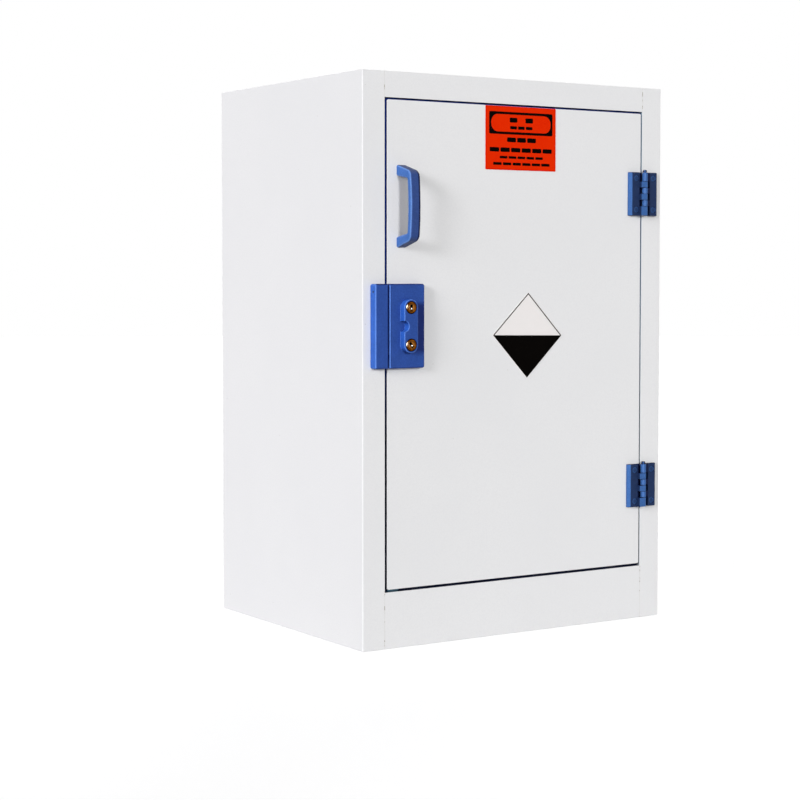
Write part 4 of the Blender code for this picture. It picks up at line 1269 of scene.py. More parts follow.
@dataclass
class PullHandle:
    """The moulded D handle: sloping legs, rounded corners, and a grip that bows outwards."""

    finishes: Finishes
    leg: float = 0.0168
    leg_slope: float = 0.0105
    inner_slope: float = 0.0050
    grip: float = 0.0100
    bow: float = 0.0035
    inner_bow: float = 0.0015
    outer_bend: float = 0.0105
    inner_bend: float = 0.0045
    section_round: float = 0.0032
    right_round: float = 0.0052
    right_growth: float = 0.0008
    right_from: float = 0.03
    leg_steps: int = 8
    bend_steps: int = 10
    grip_steps: int = 30

    def side_path(self, foot: float, shoulder: float, out: float, bend: float, bow: float) -> Array:
        """One edge of the handle's side view, from the upper foot over the grip to the lower foot.

        The path joins four corners with two arcs. It is then pushed out by
        bow (1 - (u / shoulder)^2) (o / out)^2, where o and u are how far out and how far up a point is.

        Args:
            foot: how far above the middle the path meets the door.
            shoulder: how far above the middle the leg meets the grip.
            out: how far out the grip's ends are.
            bend: radius of the two arcs.
            bow: how much further out the grip's middle is.

        Returns:
            Points, out from the door and up from the middle.
        """
        corners = np.array([(0.0, foot), (out, shoulder), (out, -shoulder), (0.0, -foot)])
        arcs = bends(corners, bend, self.bend_steps)
        upper_leg = np.linspace(corners[0], arcs[1][0], self.leg_steps + 1)[:-1]
        grip = np.linspace(arcs[1][-1], arcs[2][0], self.grip_steps + 1)[1:-1]
        lower_leg = np.linspace(arcs[2][-1], corners[3], self.leg_steps + 1)[1:]
        path = np.concatenate([upper_leg, arcs[1], grip, arcs[2], lower_leg])
        lift = bow * np.clip(1 - (path[:, 1] / shoulder) ** 2, 0, 1) * (path[:, 0] / out) ** 2
        return path + np.stack([lift, np.zeros(len(path))], axis=1)

    def rule(self, middles: Array, normals: Array) -> Tones:
        """The handle's walls are painted lighter, its left edge has a painted highlight all along, and its
        right edge painted shade.
        """
        x, z = normals[:, 0], normals[:, 2]
        return np.abs(x), np.abs(z), np.where(x > self.right_from, -1.0, -np.sign(x) * turning(x))

    def build(self) -> list[Piece]:
        """Carry a rounded section along the handle.

        The section's middle lies midway between the outer and inner edges, and its depth is the distance
        between them. Its corners are arcs, wider on the right, so with half sizes a and b and a corner's
        radius r a point is (+-(a - r) + r cos t, +-(b - r) + r sin t).
        """
        low, high = reach("handle")
        middle = (low[2] + high[2]) / 2
        half = (high[2] - low[2]) / 2
        stand_off = high[1] - low[1]
        end_out = stand_off - self.bow
        outer = self.side_path(half, half - self.leg_slope, end_out, self.outer_bend, self.bow)
        inner_out = stand_off - self.grip - self.inner_bow
        inner_half = half - self.leg
        shoulder = inner_half - self.inner_slope
        inner = self.side_path(inner_half, shoulder, inner_out, self.inner_bend, self.inner_bow)
        depth = np.linalg.norm(outer - inner, axis=1)
        outward = (outer - inner) / depth[:, None]
        centre = (outer + inner) / 2
        turn = np.linspace(0, math.pi / 2, CORNER_STEPS + 1)
        quarters = (turn[None] + np.arange(4)[:, None] * math.pi / 2).reshape(-1)
        diagonal = np.repeat(np.arange(4), CORNER_STEPS + 1) * math.pi / 2 + math.pi / 4
        side_sign, out_sign = np.sign(np.cos(diagonal)), np.sign(np.sin(diagonal))
        half_width = (high[0] + self.right_growth - low[0]) / 2
        radius = np.where(side_sign > 0, self.right_round, self.section_round)
        across = side_sign * (half_width - radius) + radius * np.cos(quarters)
        away = out_sign[None] * (depth[:, None] / 2 - radius) + radius * np.sin(quarters)[None]
        spot = centre[:, None] + away[..., None] * outward[:, None]
        x = np.broadcast_to(low[0] + half_width + across[None], spot.shape[:2])
        rings = np.stack([x, high[1] - spot[..., 0], middle + spot[..., 1]], axis=-1)
        rings[[0, -1], :, 1] = high[1]
        finish = [self.finishes.handle_blue]
        piece = fit("pull_handle", Shell.stacked(rings), Body.DOOR, finish, ["handle"], self.rule)
        for node in ("handle_screw_upper", "handle_screw_lower"):
            dress_node(node, self.finishes.steel)
        return [piece]


@dataclass
class SurfaceHinge:
    """One surface hinge: two chamfered leaves, six knuckles, a pin with a head, and four round screw caps."""

    finishes: Finishes
    row: str
    leaf_rim: float = 0.0008
    chamfer: float = 0.0042
    barrel: float = 0.0047
    base_edge: float = 0.0015
    base: float = 0.0022
    web_step: float = 0.0004
    web_root: float = 0.0006
    top_knuckle: float = 0.0140
    bottom_knuckle: float = 0.0148
    knuckle_gap: float = 0.0014
    knuckle_play: float = 0.0006
    knuckle_rim: float = 0.0005
    frame_leaf_start: float = 0.0116
    door_leaf_start: float = 0.0104
    pin: float = 0.0022
    pin_point: float = 0.0008
    pin_seat: float = 0.0040
    pin_collar: float = 0.0028
    pin_rim: float = 0.0004
    pin_flat: float = 0.0002
    dome: float = 0.0045
    dome_fall: float = 0.00035
    dome_lift: float = 0.0001
    cap_rim: Profile = ((0.00485, 0.0005), (0.0050, 0.0009), (0.0050, 0.0025), (0.0020, 0.0027))
    cap_tip: Profile = ((0.0020, -0.0010), (POLE, 0.0))
    cap: float = 0.0050
    cap_groove: float = 0.00022
    cap_sink: float = 0.0031
    shank_hole: float = 0.0024
    shank_start: float = 0.0020
    leaf_radii: tuple[float, ...] = (0.0006, 0.0008, 0.0010, 0.0010, 0.0006)

    def part(self, hand: Hand) -> str:
        """What the leaf on a side is fixed to, as its nodes and pieces are named."""
        return "frame" if hand is Hand.RIGHT else "door"

    def spans(self, low: float, high: float) -> list[tuple[float, float]]:
        """The six knuckles from the top down: the two ends have their own heights, four share the rest."""
        room = high - low - 2 * CLEARANCE - self.top_knuckle - self.bottom_knuckle
        middle = (room - 5 * self.knuckle_gap) / 4
        heights = np.array([self.top_knuckle, middle, middle, middle, middle, self.bottom_knuckle])
        tops = high - CLEARANCE - np.concatenate([[0], np.cumsum(heights + self.knuckle_gap)[:-1]])
        grown = (self.knuckle_gap - self.knuckle_play) / 2
        upper = tops + np.array([0, *[grown] * 5])
        lower = tops - heights - np.array([*[grown] * 5, 0])
        return list(zip(lower.tolist(), upper.tolist()))

    def knuckle(self, hand: Hand, axis: Array, root: float, web_front: float) -> Array:
        """The outline of a knuckle and the web that ties it to its leaf, seen from above.

        It goes from the web's front round the barrel, as an arc about the pin, to the web's back.

        Args:
            hand: the side that the leaf lies on.
            axis: the pin's place, across and inwards.
            root: how far from the pin the web ends inside the leaf.
            web_front: where the web's front is, inwards.

        Returns:
            The outline.
        """
        rise = max(-1.0, min(1.0, (web_front - axis[1]) / self.barrel))
        barrel = swing((0.0, axis[1]), self.barrel, math.degrees(math.asin(rise)), -270.0, 26)
        shape = np.concatenate([[(root, web_front)], barrel, [(root, axis[1] + self.barrel)]])
        return anticlockwise(np.stack([axis[0] + hand.value * shape[:, 0], shape[:, 1]], axis=1))

    def leaf(self, hand: Hand, node: str, body: Body, axis: Array) -> Piece:
        """A leaf with its knuckles joined to it, bored for the pin and sunk for the screw caps.

        Args:
            hand: the side that it lies on.
            node: the CAD node that it stands for.
            body: the body that it moves with.
            axis: the pin's place, across and inwards.

        Returns:
            The piece's object.
        """
        low, high = reach(node)
        part = self.part(hand)
        on_frame = hand is Hand.RIGHT
        front = reach(f"hinge_screw_{part}_{self.row}_top")[0][1] - CLEARANCE
        start = self.frame_leaf_start if on_frame else self.door_leaf_start
        end = abs((high[0] if on_frame else low[0]) - axis[0])
        rear = high[1]
        chamfer = self.chamfer
        profile = [(start, rear), (start, front), (end - chamfer, front), (end, front + chamfer), (end, rear)]
        outline = rounded([(axis[0] + hand.value * x, y) for x, y in profile], self.leaf_radii)
        plate = slab(outline, Along.Z, low[2], high[2], self.leaf_rim)
        web_front = front + self.web_step if on_frame else axis[1] - self.barrel
        own = self.spans(low[2], high[2])[0 if on_frame else 1 :: 2]
        knuckle = self.knuckle(hand, axis, start + self.web_root, web_front)
        knuckles = [slab(knuckle, Along.Z, bottom, top, self.knuckle_rim) for bottom, top in own]
        bore = rod(axis, self.pin + CLEARANCE, Along.Z, low[2] - OVERRUN, high[2] + OVERRUN)
        sinks = []
        for end_name in ("top", "bottom"):
            spot = spot_of(f"hinge_screw_{part}_{self.row}_{end_name}")
            seat = front + self.cap_sink
            sinks.append(rod(spot, self.cap + self.cap_groove, Along.Y, front - OVERRUN, seat))
            sinks.append(rod(spot, self.shank_hole, Along.Y, front + self.shank_start, rear + OVERRUN))
        # A base block behind the barrel; the rule paints it near black as painted shade for the gap there
        near, far = sorted(axis[0] + hand.value * edge for edge in (self.base_edge, start + self.chamfer / 2))
        base = block((near, rear - self.base, low[2]), (far, rear, high[2]), Along.Z)
        shell = plate.worked(Cut.JOIN, [*knuckles, base]).worked(Cut.REMOVE, [bore, *sinks])
        name = f"hinge_leaf_{part}_{self.row}"
        bright = self.barrel + self.knuckle_rim if on_frame else start - self.leaf_rim

        def rule(middles: Array, normals: Array) -> Tones:
            """Knuckles and the outer chamfer are painted lighter as walls, with a painted highlight below and
            on the left. The plate's top and right rims and the base get painted shade.
            """
            away = np.abs(middles[:, 0] - axis[0])
            outer = np.where((away > start + self.leaf_rim * 4) & (np.abs(normals[:, 0]) > 0.5), 1.0, 0.0)
            barrel = (away < bright) & (middles[:, 1] < rear - self.base - self.leaf_rim)
            x, z = normals[:, 0], normals[:, 2]
            base = (away < start - self.leaf_rim) & ~barrel
            plate_edge = np.where((z > 0.3) | (x > 0.3) | base, -1.0, 0.0)
            knuckle_edge = np.where(z < -0.3, 0.8, np.where(np.abs(x + 0.6) < 0.13, 0.63, 0.0))
            return np.where(barrel, 1.0, outer), np.abs(z), np.where(barrel, knuckle_edge, plate_edge)

        return fit(name, shell, body, [self.finishes.hinge_blue], [node], rule)

    def pin_rule(self, middles: Array, normals: Array) -> Tones:
        """The pin is painted lighter, as a wall, and has painted shade everywhere but where it faces front
        left.
        """
        x = normals[:, 0]
        return np.full(len(x), 0.85), np.abs(normals[:, 2]), np.where((x < -0.86) | (x > -0.35), -1.0, 0.0)

    def caps(self, hand: Hand, body: Body) -> list[Piece]:
        """The round caps of a leaf's two screws: each a low dome with a rolled rim over its shank."""
        made = []
        part = self.part(hand)
        for end_name in ("top", "bottom"):
            node = f"hinge_screw_{part}_{self.row}_{end_name}"
            low, high = reach(node)
            spot = spot_of(node)
            share = np.linspace(0.02, 1, 8)
            level = low[1] + self.dome_fall * share**2 - self.dome_lift
            dome = np.stack([self.dome * share, level], axis=1)
            rim = np.array(self.cap_rim) + (0, low[1])
            shank = np.array(self.cap_tip) + (0, high[1])
            shell = turned(np.concatenate([dome, rim, shank]), spot, Along.Y, looped=False)
            name = f"hinge_cap_{part}_{self.row}_{end_name}"

            def rule(middles: Array, normals: Array, spot: Array = spot) -> Tones:
                """A cap is a little lighter than the leaf, and round its rolled rim it has a painted
                highlight.
                """
                away = np.linalg.norm(middles[:, [0, 2]] - spot, axis=1)
                return np.where(away > self.cap * 0.66, 0.76, 0.655), np.zeros(len(away)), np.zeros(len(away))

            made.append(fit(name, shell, body, [self.finishes.hinge_blue], [node], rule))
        return made

    def pin_piece(self, axis: Array) -> Piece:
        """The pin: a long shank under a head with a domed top, as one turned profile."""
        node = f"hinge_pin_{self.row}"
        low, high = reach(node)
        head = (high[0] - low[0]) / 2
        seat = high[2] - self.pin_seat
        turn = np.linspace(0, math.pi / 2, CORNER_STEPS + 1)
        rise = (self.pin_seat - self.pin_collar) * np.sin(turn)
        dome = np.stack([head * np.cos(turn) + self.pin_flat, seat + self.pin_collar + rise], axis=1)
        dome[:, 0] = np.minimum(dome[:, 0], head)
        shank = [(self.pin / 2, low[2]), (self.pin, low[2] + self.pin_point), (self.pin, seat)]
        collar = [(head - CLEARANCE, seat), (head, seat + self.pin_rim)]
        shell = turned(np.concatenate([shank, collar, dome]), axis, Along.Z, looped=False)
        name, finish = f"hinge_pin_headed_{self.row}", [self.finishes.hinge_blue]
        return fit(name, shell, Body.CABINET, finish, [node], self.pin_rule)

    def build(self) -> list[Piece]:
        """Build and dress the hinge."""
        low, high = reach(f"hinge_pin_{self.row}")
        axis = (low[:2] + high[:2]) / 2
        return [
            self.leaf(Hand.RIGHT, f"hinge_frame_leaf_{self.row}", Body.CABINET, axis),
            self.leaf(Hand.LEFT, f"hinge_door_leaf_{self.row}", Body.DOOR, axis),
            *self.caps(Hand.RIGHT, Body.CABINET),
            *self.caps(Hand.LEFT, Body.DOOR),
            self.pin_piece(axis),
        ]


@dataclass
class SurfaceLock:
    """The lock: a keeper on the post, and a case on the door with a notched boss round two cylinders."""

    finishes: Finishes
    depth: float = 0.0150
    face: float = 0.0030
    corner: float = 0.0034
    seam_corner: float = 0.0025
    rim: float = 0.0029
    bevel: float = 0.0014
    bevel_share: float = 0.8
    rear_rim: float = 0.0004
    keeper_gap: float = 0.00005
    shaded_rim: float = -0.33
    boss_width: float = 0.0250
    boss_rim: float = 0.0017
    boss_foot: float = 0.0006
    notch: float = 0.0082
    cylinder: float = 0.0098
    nut_reach: float = 0.0139
    room: float = 0.0014
    cam_length: float = 0.0430
    cam_half: float = 0.0060
    screw: float = 0.0025
    side_screw: float = 0.0015
    side_screw_inset: float = 0.0004
    sink: Profile = ((POLE, 0.0008), (0.0017, 0.0008), (0.0025, -0.0004), (POLE, -0.0006))
    dish: Profile = ((0.0002, 0.0009), (0.0008, 0.0008), (0.0010, 0.0004), (0.0013, 0.0004), (0.0015, 0.0007))

    def __post_init__(self) -> None:
        """Read the places that the shapes share from the frame."""
        self.upper = self.middle_of("lock_barrel_upper")
        self.lower = self.middle_of("lock_barrel_lower")
        self.level = (self.upper[2] + self.lower[2]) / 2
        self.half_pitch = (self.upper[2] - self.lower[2]) / 2
        self.x = self.upper[0]

    def middle_of(self, node: str) -> Array:
        """The middle of a node's box."""
        low, high = reach(node)
        return (low + high) / 2

    def screw_bites(self, node: str, rear: float) -> list[Shell]:
        """The two holes for the screws that come from behind."""
        bites = []
        for row in ("upper", "lower"):
            start = reach(f"{node}_{row}")[0][1] - CLEARANCE
            bites.append(rod(spot_of(f"{node}_{row}"), self.screw, Along.Y, start, rear + OVERRUN))
        return bites

    def boss_outline(self) -> Array:
        """A capsule round both cylinders with a half-round notch in its left side, made of three arcs."""
        radius = self.boss_width / 2
        left = self.x - radius
        top = swing((self.x, self.level + self.half_pitch), radius, 0, 180, 28)
        notch = swing((left, self.level), self.notch, 90, -90, 22)
        bottom = swing((self.x, self.level - self.half_pitch), radius, 180, 360, 28)
        return anticlockwise(np.concatenate([top, notch, bottom]))

    def boss(self, front: float, case_front: float) -> Shell:
        """The raised boss: a flared foot, a straight wall and a round front rim, as rings of one outline.

        Args:
            front: where its front is, inwards.
            case_front: where the case's front is.

        Returns:
            The closed surface.
        """
        inset, rise = quarter(self.boss_rim)
        flare, climb = quarter(self.boss_foot)
        insets = np.concatenate([inset, -flare[::-1], [-self.boss_foot]])
        levels = np.concatenate([front + rise, case_front - climb[::-1], [case_front + LAP * 2]])
        return Shell.stacked(stack(self.boss_outline(), Along.Y, insets, levels))

    def case(self) -> Piece:
        """The case: a rounded block bevelled along the seam, with its boss added and its room cut out."""
        low, high = reach("lock_case")
        front = high[1] + CLEARANCE - self.depth
        corners = [(low[0], low[2]), (high[0], low[2]), (high[0], high[2]), (low[0], high[2])]
        outline = rounded(corners, [self.seam_corner, self.corner, self.corner, self.seam_corner])
        body = slab(outline, Along.Y, front, high[1], self.rim, self.rear_rim)
        left = low[0]
        foot = front + self.bevel * self.bevel_share
        outside, ahead, inside = left - OVERRUN, front - OVERRUN, left + self.bevel
        wedge_corners = [(outside, ahead), (inside, ahead), (inside, front), (left, foot), (outside, foot)]
        wedge_outline = anticlockwise(np.array(wedge_corners))
        wedge = Shell.stacked(stack(wedge_outline, Along.Z, [0, 0], [low[2] - OVERRUN, high[2] + OVERRUN]))
        bottom = self.level - self.half_pitch - self.nut_reach - self.room
        top = self.level + self.half_pitch + self.nut_reach + self.room
        room = block(
            (left - OVERRUN, front + self.face, bottom),
            (self.x + self.nut_reach + self.room, high[1] + OVERRUN, top),
        )
        bore, start, end = self.cylinder + CLEARANCE, low[1] - OVERRUN, high[1] + OVERRUN
        bores = [rod((self.x, spot[2]), bore, Along.Y, start, end) for spot in (self.upper, self.lower)]
        cuts = [room, *bores, *self.screw_bites("lock_case_screw", high[1])]
        bossed = body.worked(Cut.REMOVE, [wedge]).worked(Cut.JOIN, [self.boss(low[1], front)])
        shell = bossed.worked(Cut.REMOVE, cuts)

        def rule(middles: Array, normals: Array) -> Tones:
            """Painted shade on the case's top and right rims and beside the seam bevel, which has a painted
            highlight. The boss has walls painted lighter, painted shade on faces that look down, and a
            painted highlight round its rim.
            """
            wall, ledge, edge = plain_tones(middles, normals)
            boss = middles[:, 1] < front - self.boss_foot * 0.5
            x, y, z = normals.T
            # A painted highlight round the boss's rim, except where it turns right or down
            rim = np.where((x < 0.6) & (z > -0.75), turning(y) * 1.3, 0.0)
            # At the seam, a painted highlight on the bevel and painted shade on the wall beside it
            beside = np.abs(middles[:, 0] - left) < self.bevel
            edge = np.where(beside & (y < -0.5), 1.0, np.where(beside & (x < -0.9), -1.0, edge))
            # Painted shade on rims that turn right or up
            edge = np.where((np.abs(y) < 0.97) & (np.maximum(x, z) > 0.24), self.shaded_rim, edge)
            # The boss's walls are painted lighter, and its faces that look down take painted shade
            wall = np.where(boss, np.where(y < -0.9, 0.0, 1.0), wall)
            return wall, np.where(boss, np.clip(-z, 0, 1), ledge), np.where(boss, rim, edge)

        blue = [self.finishes.lock_blue]
        return fit("lock_case_cover", shell, Body.DOOR, blue, ["lock_case"], rule)

    def keeper(self) -> Piece:
        """The keeper: a rounded block with a pocket for the cams, open towards the case."""
        low, high = reach("lock_keeper")
        right = high[0] - self.keeper_gap
        corners = [(low[0], low[2]), (right, low[2]), (right, high[2]), (low[0], high[2])]
        outline = rounded(corners, [self.corner, self.seam_corner, self.seam_corner, self.corner])
        body = slab(outline, Along.Y, low[1], high[1], self.rim, self.rear_rim)
        cylinder_rear = reach("lock_barrel_upper")[1][1]
        half = self.half_pitch + self.cam_half + self.room
        pocket = block(
            (self.x - self.cam_length - self.room, cylinder_rear, self.level - half),
            (high[0] + OVERRUN, high[1] + OVERRUN, self.level + half),
        )
        spot = spot_of("keeper_side_screw", Along.X)
        hole_end = reach("keeper_side_screw")[1][0] + CLEARANCE
        hole = rod(spot, self.side_screw + CLEARANCE, Along.X, low[0] - OVERRUN, hole_end)
        sink = turned(np.array(self.sink) + (0, low[0]), spot, Along.X, looped=False)
        shell = body.worked(Cut.REMOVE, [pocket, hole, sink, *self.screw_bites("keeper_screw", high[1])])

        def rule(middles: Array, normals: Array) -> Tones:
            """The keeper's rim has painted shade along the seam."""
            wall, ledge, edge = plain_tones(middles, normals)
            return wall, ledge, np.where((normals[:, 0] > 0.1) & (normals[:, 1] < -0.3), -1.0, edge)

        blue = [self.finishes.lock_blue]
        return fit("lock_keeper_block", shell, Body.CABINET, blue, ["lock_keeper"], rule)

    def side_screw_piece(self) -> Piece:
        """The small dark screw in the keeper's side: a shank with a slightly dished end."""
        low, high = reach("keeper_side_screw")
        shank = [(self.side_screw, high[0] - self.side_screw_inset), (POLE, high[0])]
        profile = np.concatenate([np.array(self.dish) + (0, low[0]), shank])
        shell = turned(profile, spot_of("keeper_side_screw", Along.X), Along.X, looped=False)
        dark = [self.finishes.dark_steel]
        return fit("keeper_grub_screw", shell, Body.CABINET, dark, ["keeper_side_screw"])

    def build(self) -> list[Piece]:
        """Build and dress the two halves, and give the hidden screws their steel."""
        for half in ("keeper_screw", "lock_case_screw"):
            for row in ("upper", "lower"):
                dress_node(f"{half}_{row}", self.finishes.steel)
        return [self.case(), self.keeper(), self.side_screw_piece()]


@dataclass
class LockCylinder:
    """One brass cylinder: a barrel with a chamfered and grooved rim, and a plug with a keyway."""

    finishes: Finishes
    row: str
    body: Body
    key_turn: float
    face_rim: Profile = ((0, 0.0015), (0.00015, 0.001), (0.0005, 0.0005), (0.001, 0.00015), (0.0015, 0))
    groove: Profile = ((0.0018, 0), (0.0020, 0.0005), (0.0024, 0.0005), (0.0026, 0.0001))
    bore_ledge: float = 0.0001
    bore_rim: float = 0.0004
    plug_dish: Profile = ((0.0010, 0.0003), (0.0024, 0.0003), (0.0044, 0.0001), (0.0049, 0))
    plug_end: float = 0.0020
    key_zone: float = 0.8
    wafer_place: tuple[float, float] = (0.0008, -0.0018)
    wafer_radius: float = 0.0014
    wafer_front: float = 0.0004
    wafer_fall: float = 0.0006
    wafer_end: Profile = ((0.0014, 0.0075), (0.0004, 0.0078))
    key_width: float = 0.0046
    key_height: float = 0.0098
    key_depth: float = 0.0080
    key_corner: float = 0.0007
    tenon_half: float = 0.0025
    tenon_lap: float = 0.0010
    screw_hole: float = 0.0016
    barrel_rim: float = 0.0020
    plug_rim: float = 0.0042

    def key_way(self) -> Array:
        """The matrix that turns the keyway, so that an upright place times it is the turned place."""
        cosine, sine = math.cos(self.key_turn), math.sin(self.key_turn)
        return np.array([[cosine, sine], [-sine, cosine]])

    def barrel(self, spot: Array, finish: Material) -> Piece:
        """The barrel, a bushing turned about the plug, with a chamfered rim and a groove in its face."""
        node = f"lock_barrel_{self.row}"
        low, high = reach(node)
        outer = (high[0] - low[0]) / 2
        plug_low, plug_high = reach(f"lock_plug_{self.row}")
        bore = (plug_high[0] - plug_low[0]) / 2 + CLEARANCE
        face, rear = low[1], high[1]
        cut_face = [(outer - inset, face + level) for inset, level in self.face_rim + self.groove]
        inside = [(bore + CLEARANCE, face + self.bore_ledge), (bore, face + self.bore_rim), (bore, rear)]
        shell = turned([(outer, rear), *cut_face, *inside], spot, Along.Y, looped=True)
        return fit(f"cylinder_barrel_{self.row}", shell, Body.DOOR, [finish], [node])

    def plug(self, spot: Array, finish: Material) -> Piece:
        """The plug, turned, with the keyway cut into its face and the cam's driving square behind it.

        Args:
            spot: the cylinder's middle, across and up.
            finish: its brass.

        Returns:
            The piece's object.
        """
        node = f"lock_plug_{self.row}"
        low, high = reach(node)
        radius = (high[0] - low[0]) / 2
        face, rear = low[1], reach(f"lock_cam_{self.row}")[0][1] - CLEARANCE
        dish = np.array(self.plug_dish) + (0, face)
        rim = [(radius - self.bore_rim, face), (radius, face + self.bore_rim)]
        body = turned([*dish, *rim, (radius, rear), (self.plug_end, rear)], spot, Along.Y, looped=False)
        half_key = np.array([self.key_width, self.key_height]) / 2
        slot = rectangle(-half_key, half_key, self.key_corner) @ self.key_way() + spot
        levels = [face - OVERRUN, face + self.key_depth]
        keyway = Shell.stacked(stack(anticlockwise(slot), Along.Y, [0, 0], levels))
        half = self.tenon_half
        tenon = block(
            (spot[0] - half, rear - self.tenon_lap, spot[1] - half), (spot[0] + half, high[1], spot[1] + half)
        )
        hole_start = reach(f"cam_screw_{self.row}")[0][1] - CLEARANCE
        hole = rod(spot, self.screw_hole, Along.Y, hole_start, high[1] + OVERRUN)
        shell = body.worked(Cut.JOIN, [tenon]).worked(Cut.REMOVE, [keyway, hole])
        # Faces inside the keyway take the near-black keyway steel: painted shade
        middles = shell.centres()
        within = np.linalg.norm(middles[:, [0, 2]] - spot, axis=1) < radius * self.key_zone
        depth = middles[:, 1] - face
        shell = shell.where(within & (depth > self.bore_rim) & (depth < self.key_depth + CLEARANCE), 1)
        layers = [finish, self.finishes.dark_keyway]
        return fit(f"cylinder_plug_{self.row}", shell, self.body, layers, [node])

    def wafer(self, spot: Array) -> Piece:
        """The first wafer inside the keyway, a small bar of near-white steel that is a painted highlight."""
        face = reach(f"lock_plug_{self.row}")[0][1]
        place = np.array(self.wafer_place) @ self.key_way() + spot
        turn = np.linspace(0.05, 1, 7) * math.pi / 2
        level = face + self.wafer_front + self.wafer_fall * (1 - np.cos(turn))
        dome = np.stack([self.wafer_radius * np.sin(turn), level], axis=1)
        shank = np.array(self.wafer_end) + (0, face)
        shell = turned(np.concatenate([dome, shank]), place, Along.Y, looped=False)
        return fit(f"keyway_wafer_{self.row}", shell, self.body, [self.finishes.bright_steel])

    def build(self) -> list[Piece]:
        """Build and dress the cylinder, and dress the nut, the cam and its screw behind it."""
        low, high = reach(f"lock_barrel_{self.row}")
        spot = spot_of(f"lock_barrel_{self.row}")
        centre = (float(spot[0]), 0.0, float(spot[1]))
        edge = float(high[0] - low[0]) / 2
        # The dark outer ring of barrel and plug: tarnish and painted shade
        dark = (0.022, 0.006, 0.001)
        starts = edge - self.barrel_rim, edge - self.plug_rim
        barrel_finish = TurnedMetal(centre, (0.430, 0.150, 0.009), (0.130, 0.034, 0.002), dark, starts[0])
        plug_finish = TurnedMetal(centre, (0.400, 0.165, 0.030), (0.160, 0.055, 0.010), dark, starts[1])
        barrel_brass = barrel_finish.material(f"barrel_brass_{self.row}")
        plug_brass = plug_finish.material(f"plug_brass_{self.row}")
        dress_node(f"lock_nut_{self.row}", barrel_brass)
        dress_node(f"lock_cam_{self.row}", self.finishes.steel)
        dress_node(f"cam_screw_{self.row}", self.finishes.steel)
        return [self.barrel(spot, barrel_brass), self.plug(spot, plug_brass), self.wafer(spot)]


@dataclass(frozen=True)
class BarRow:
    """A row of plain bars of equal length on the orange sticker, in metres from its left and top edges."""

    start: float
    end: float
    level: float
    height: float
    count: int
    gap: float = 0.0026


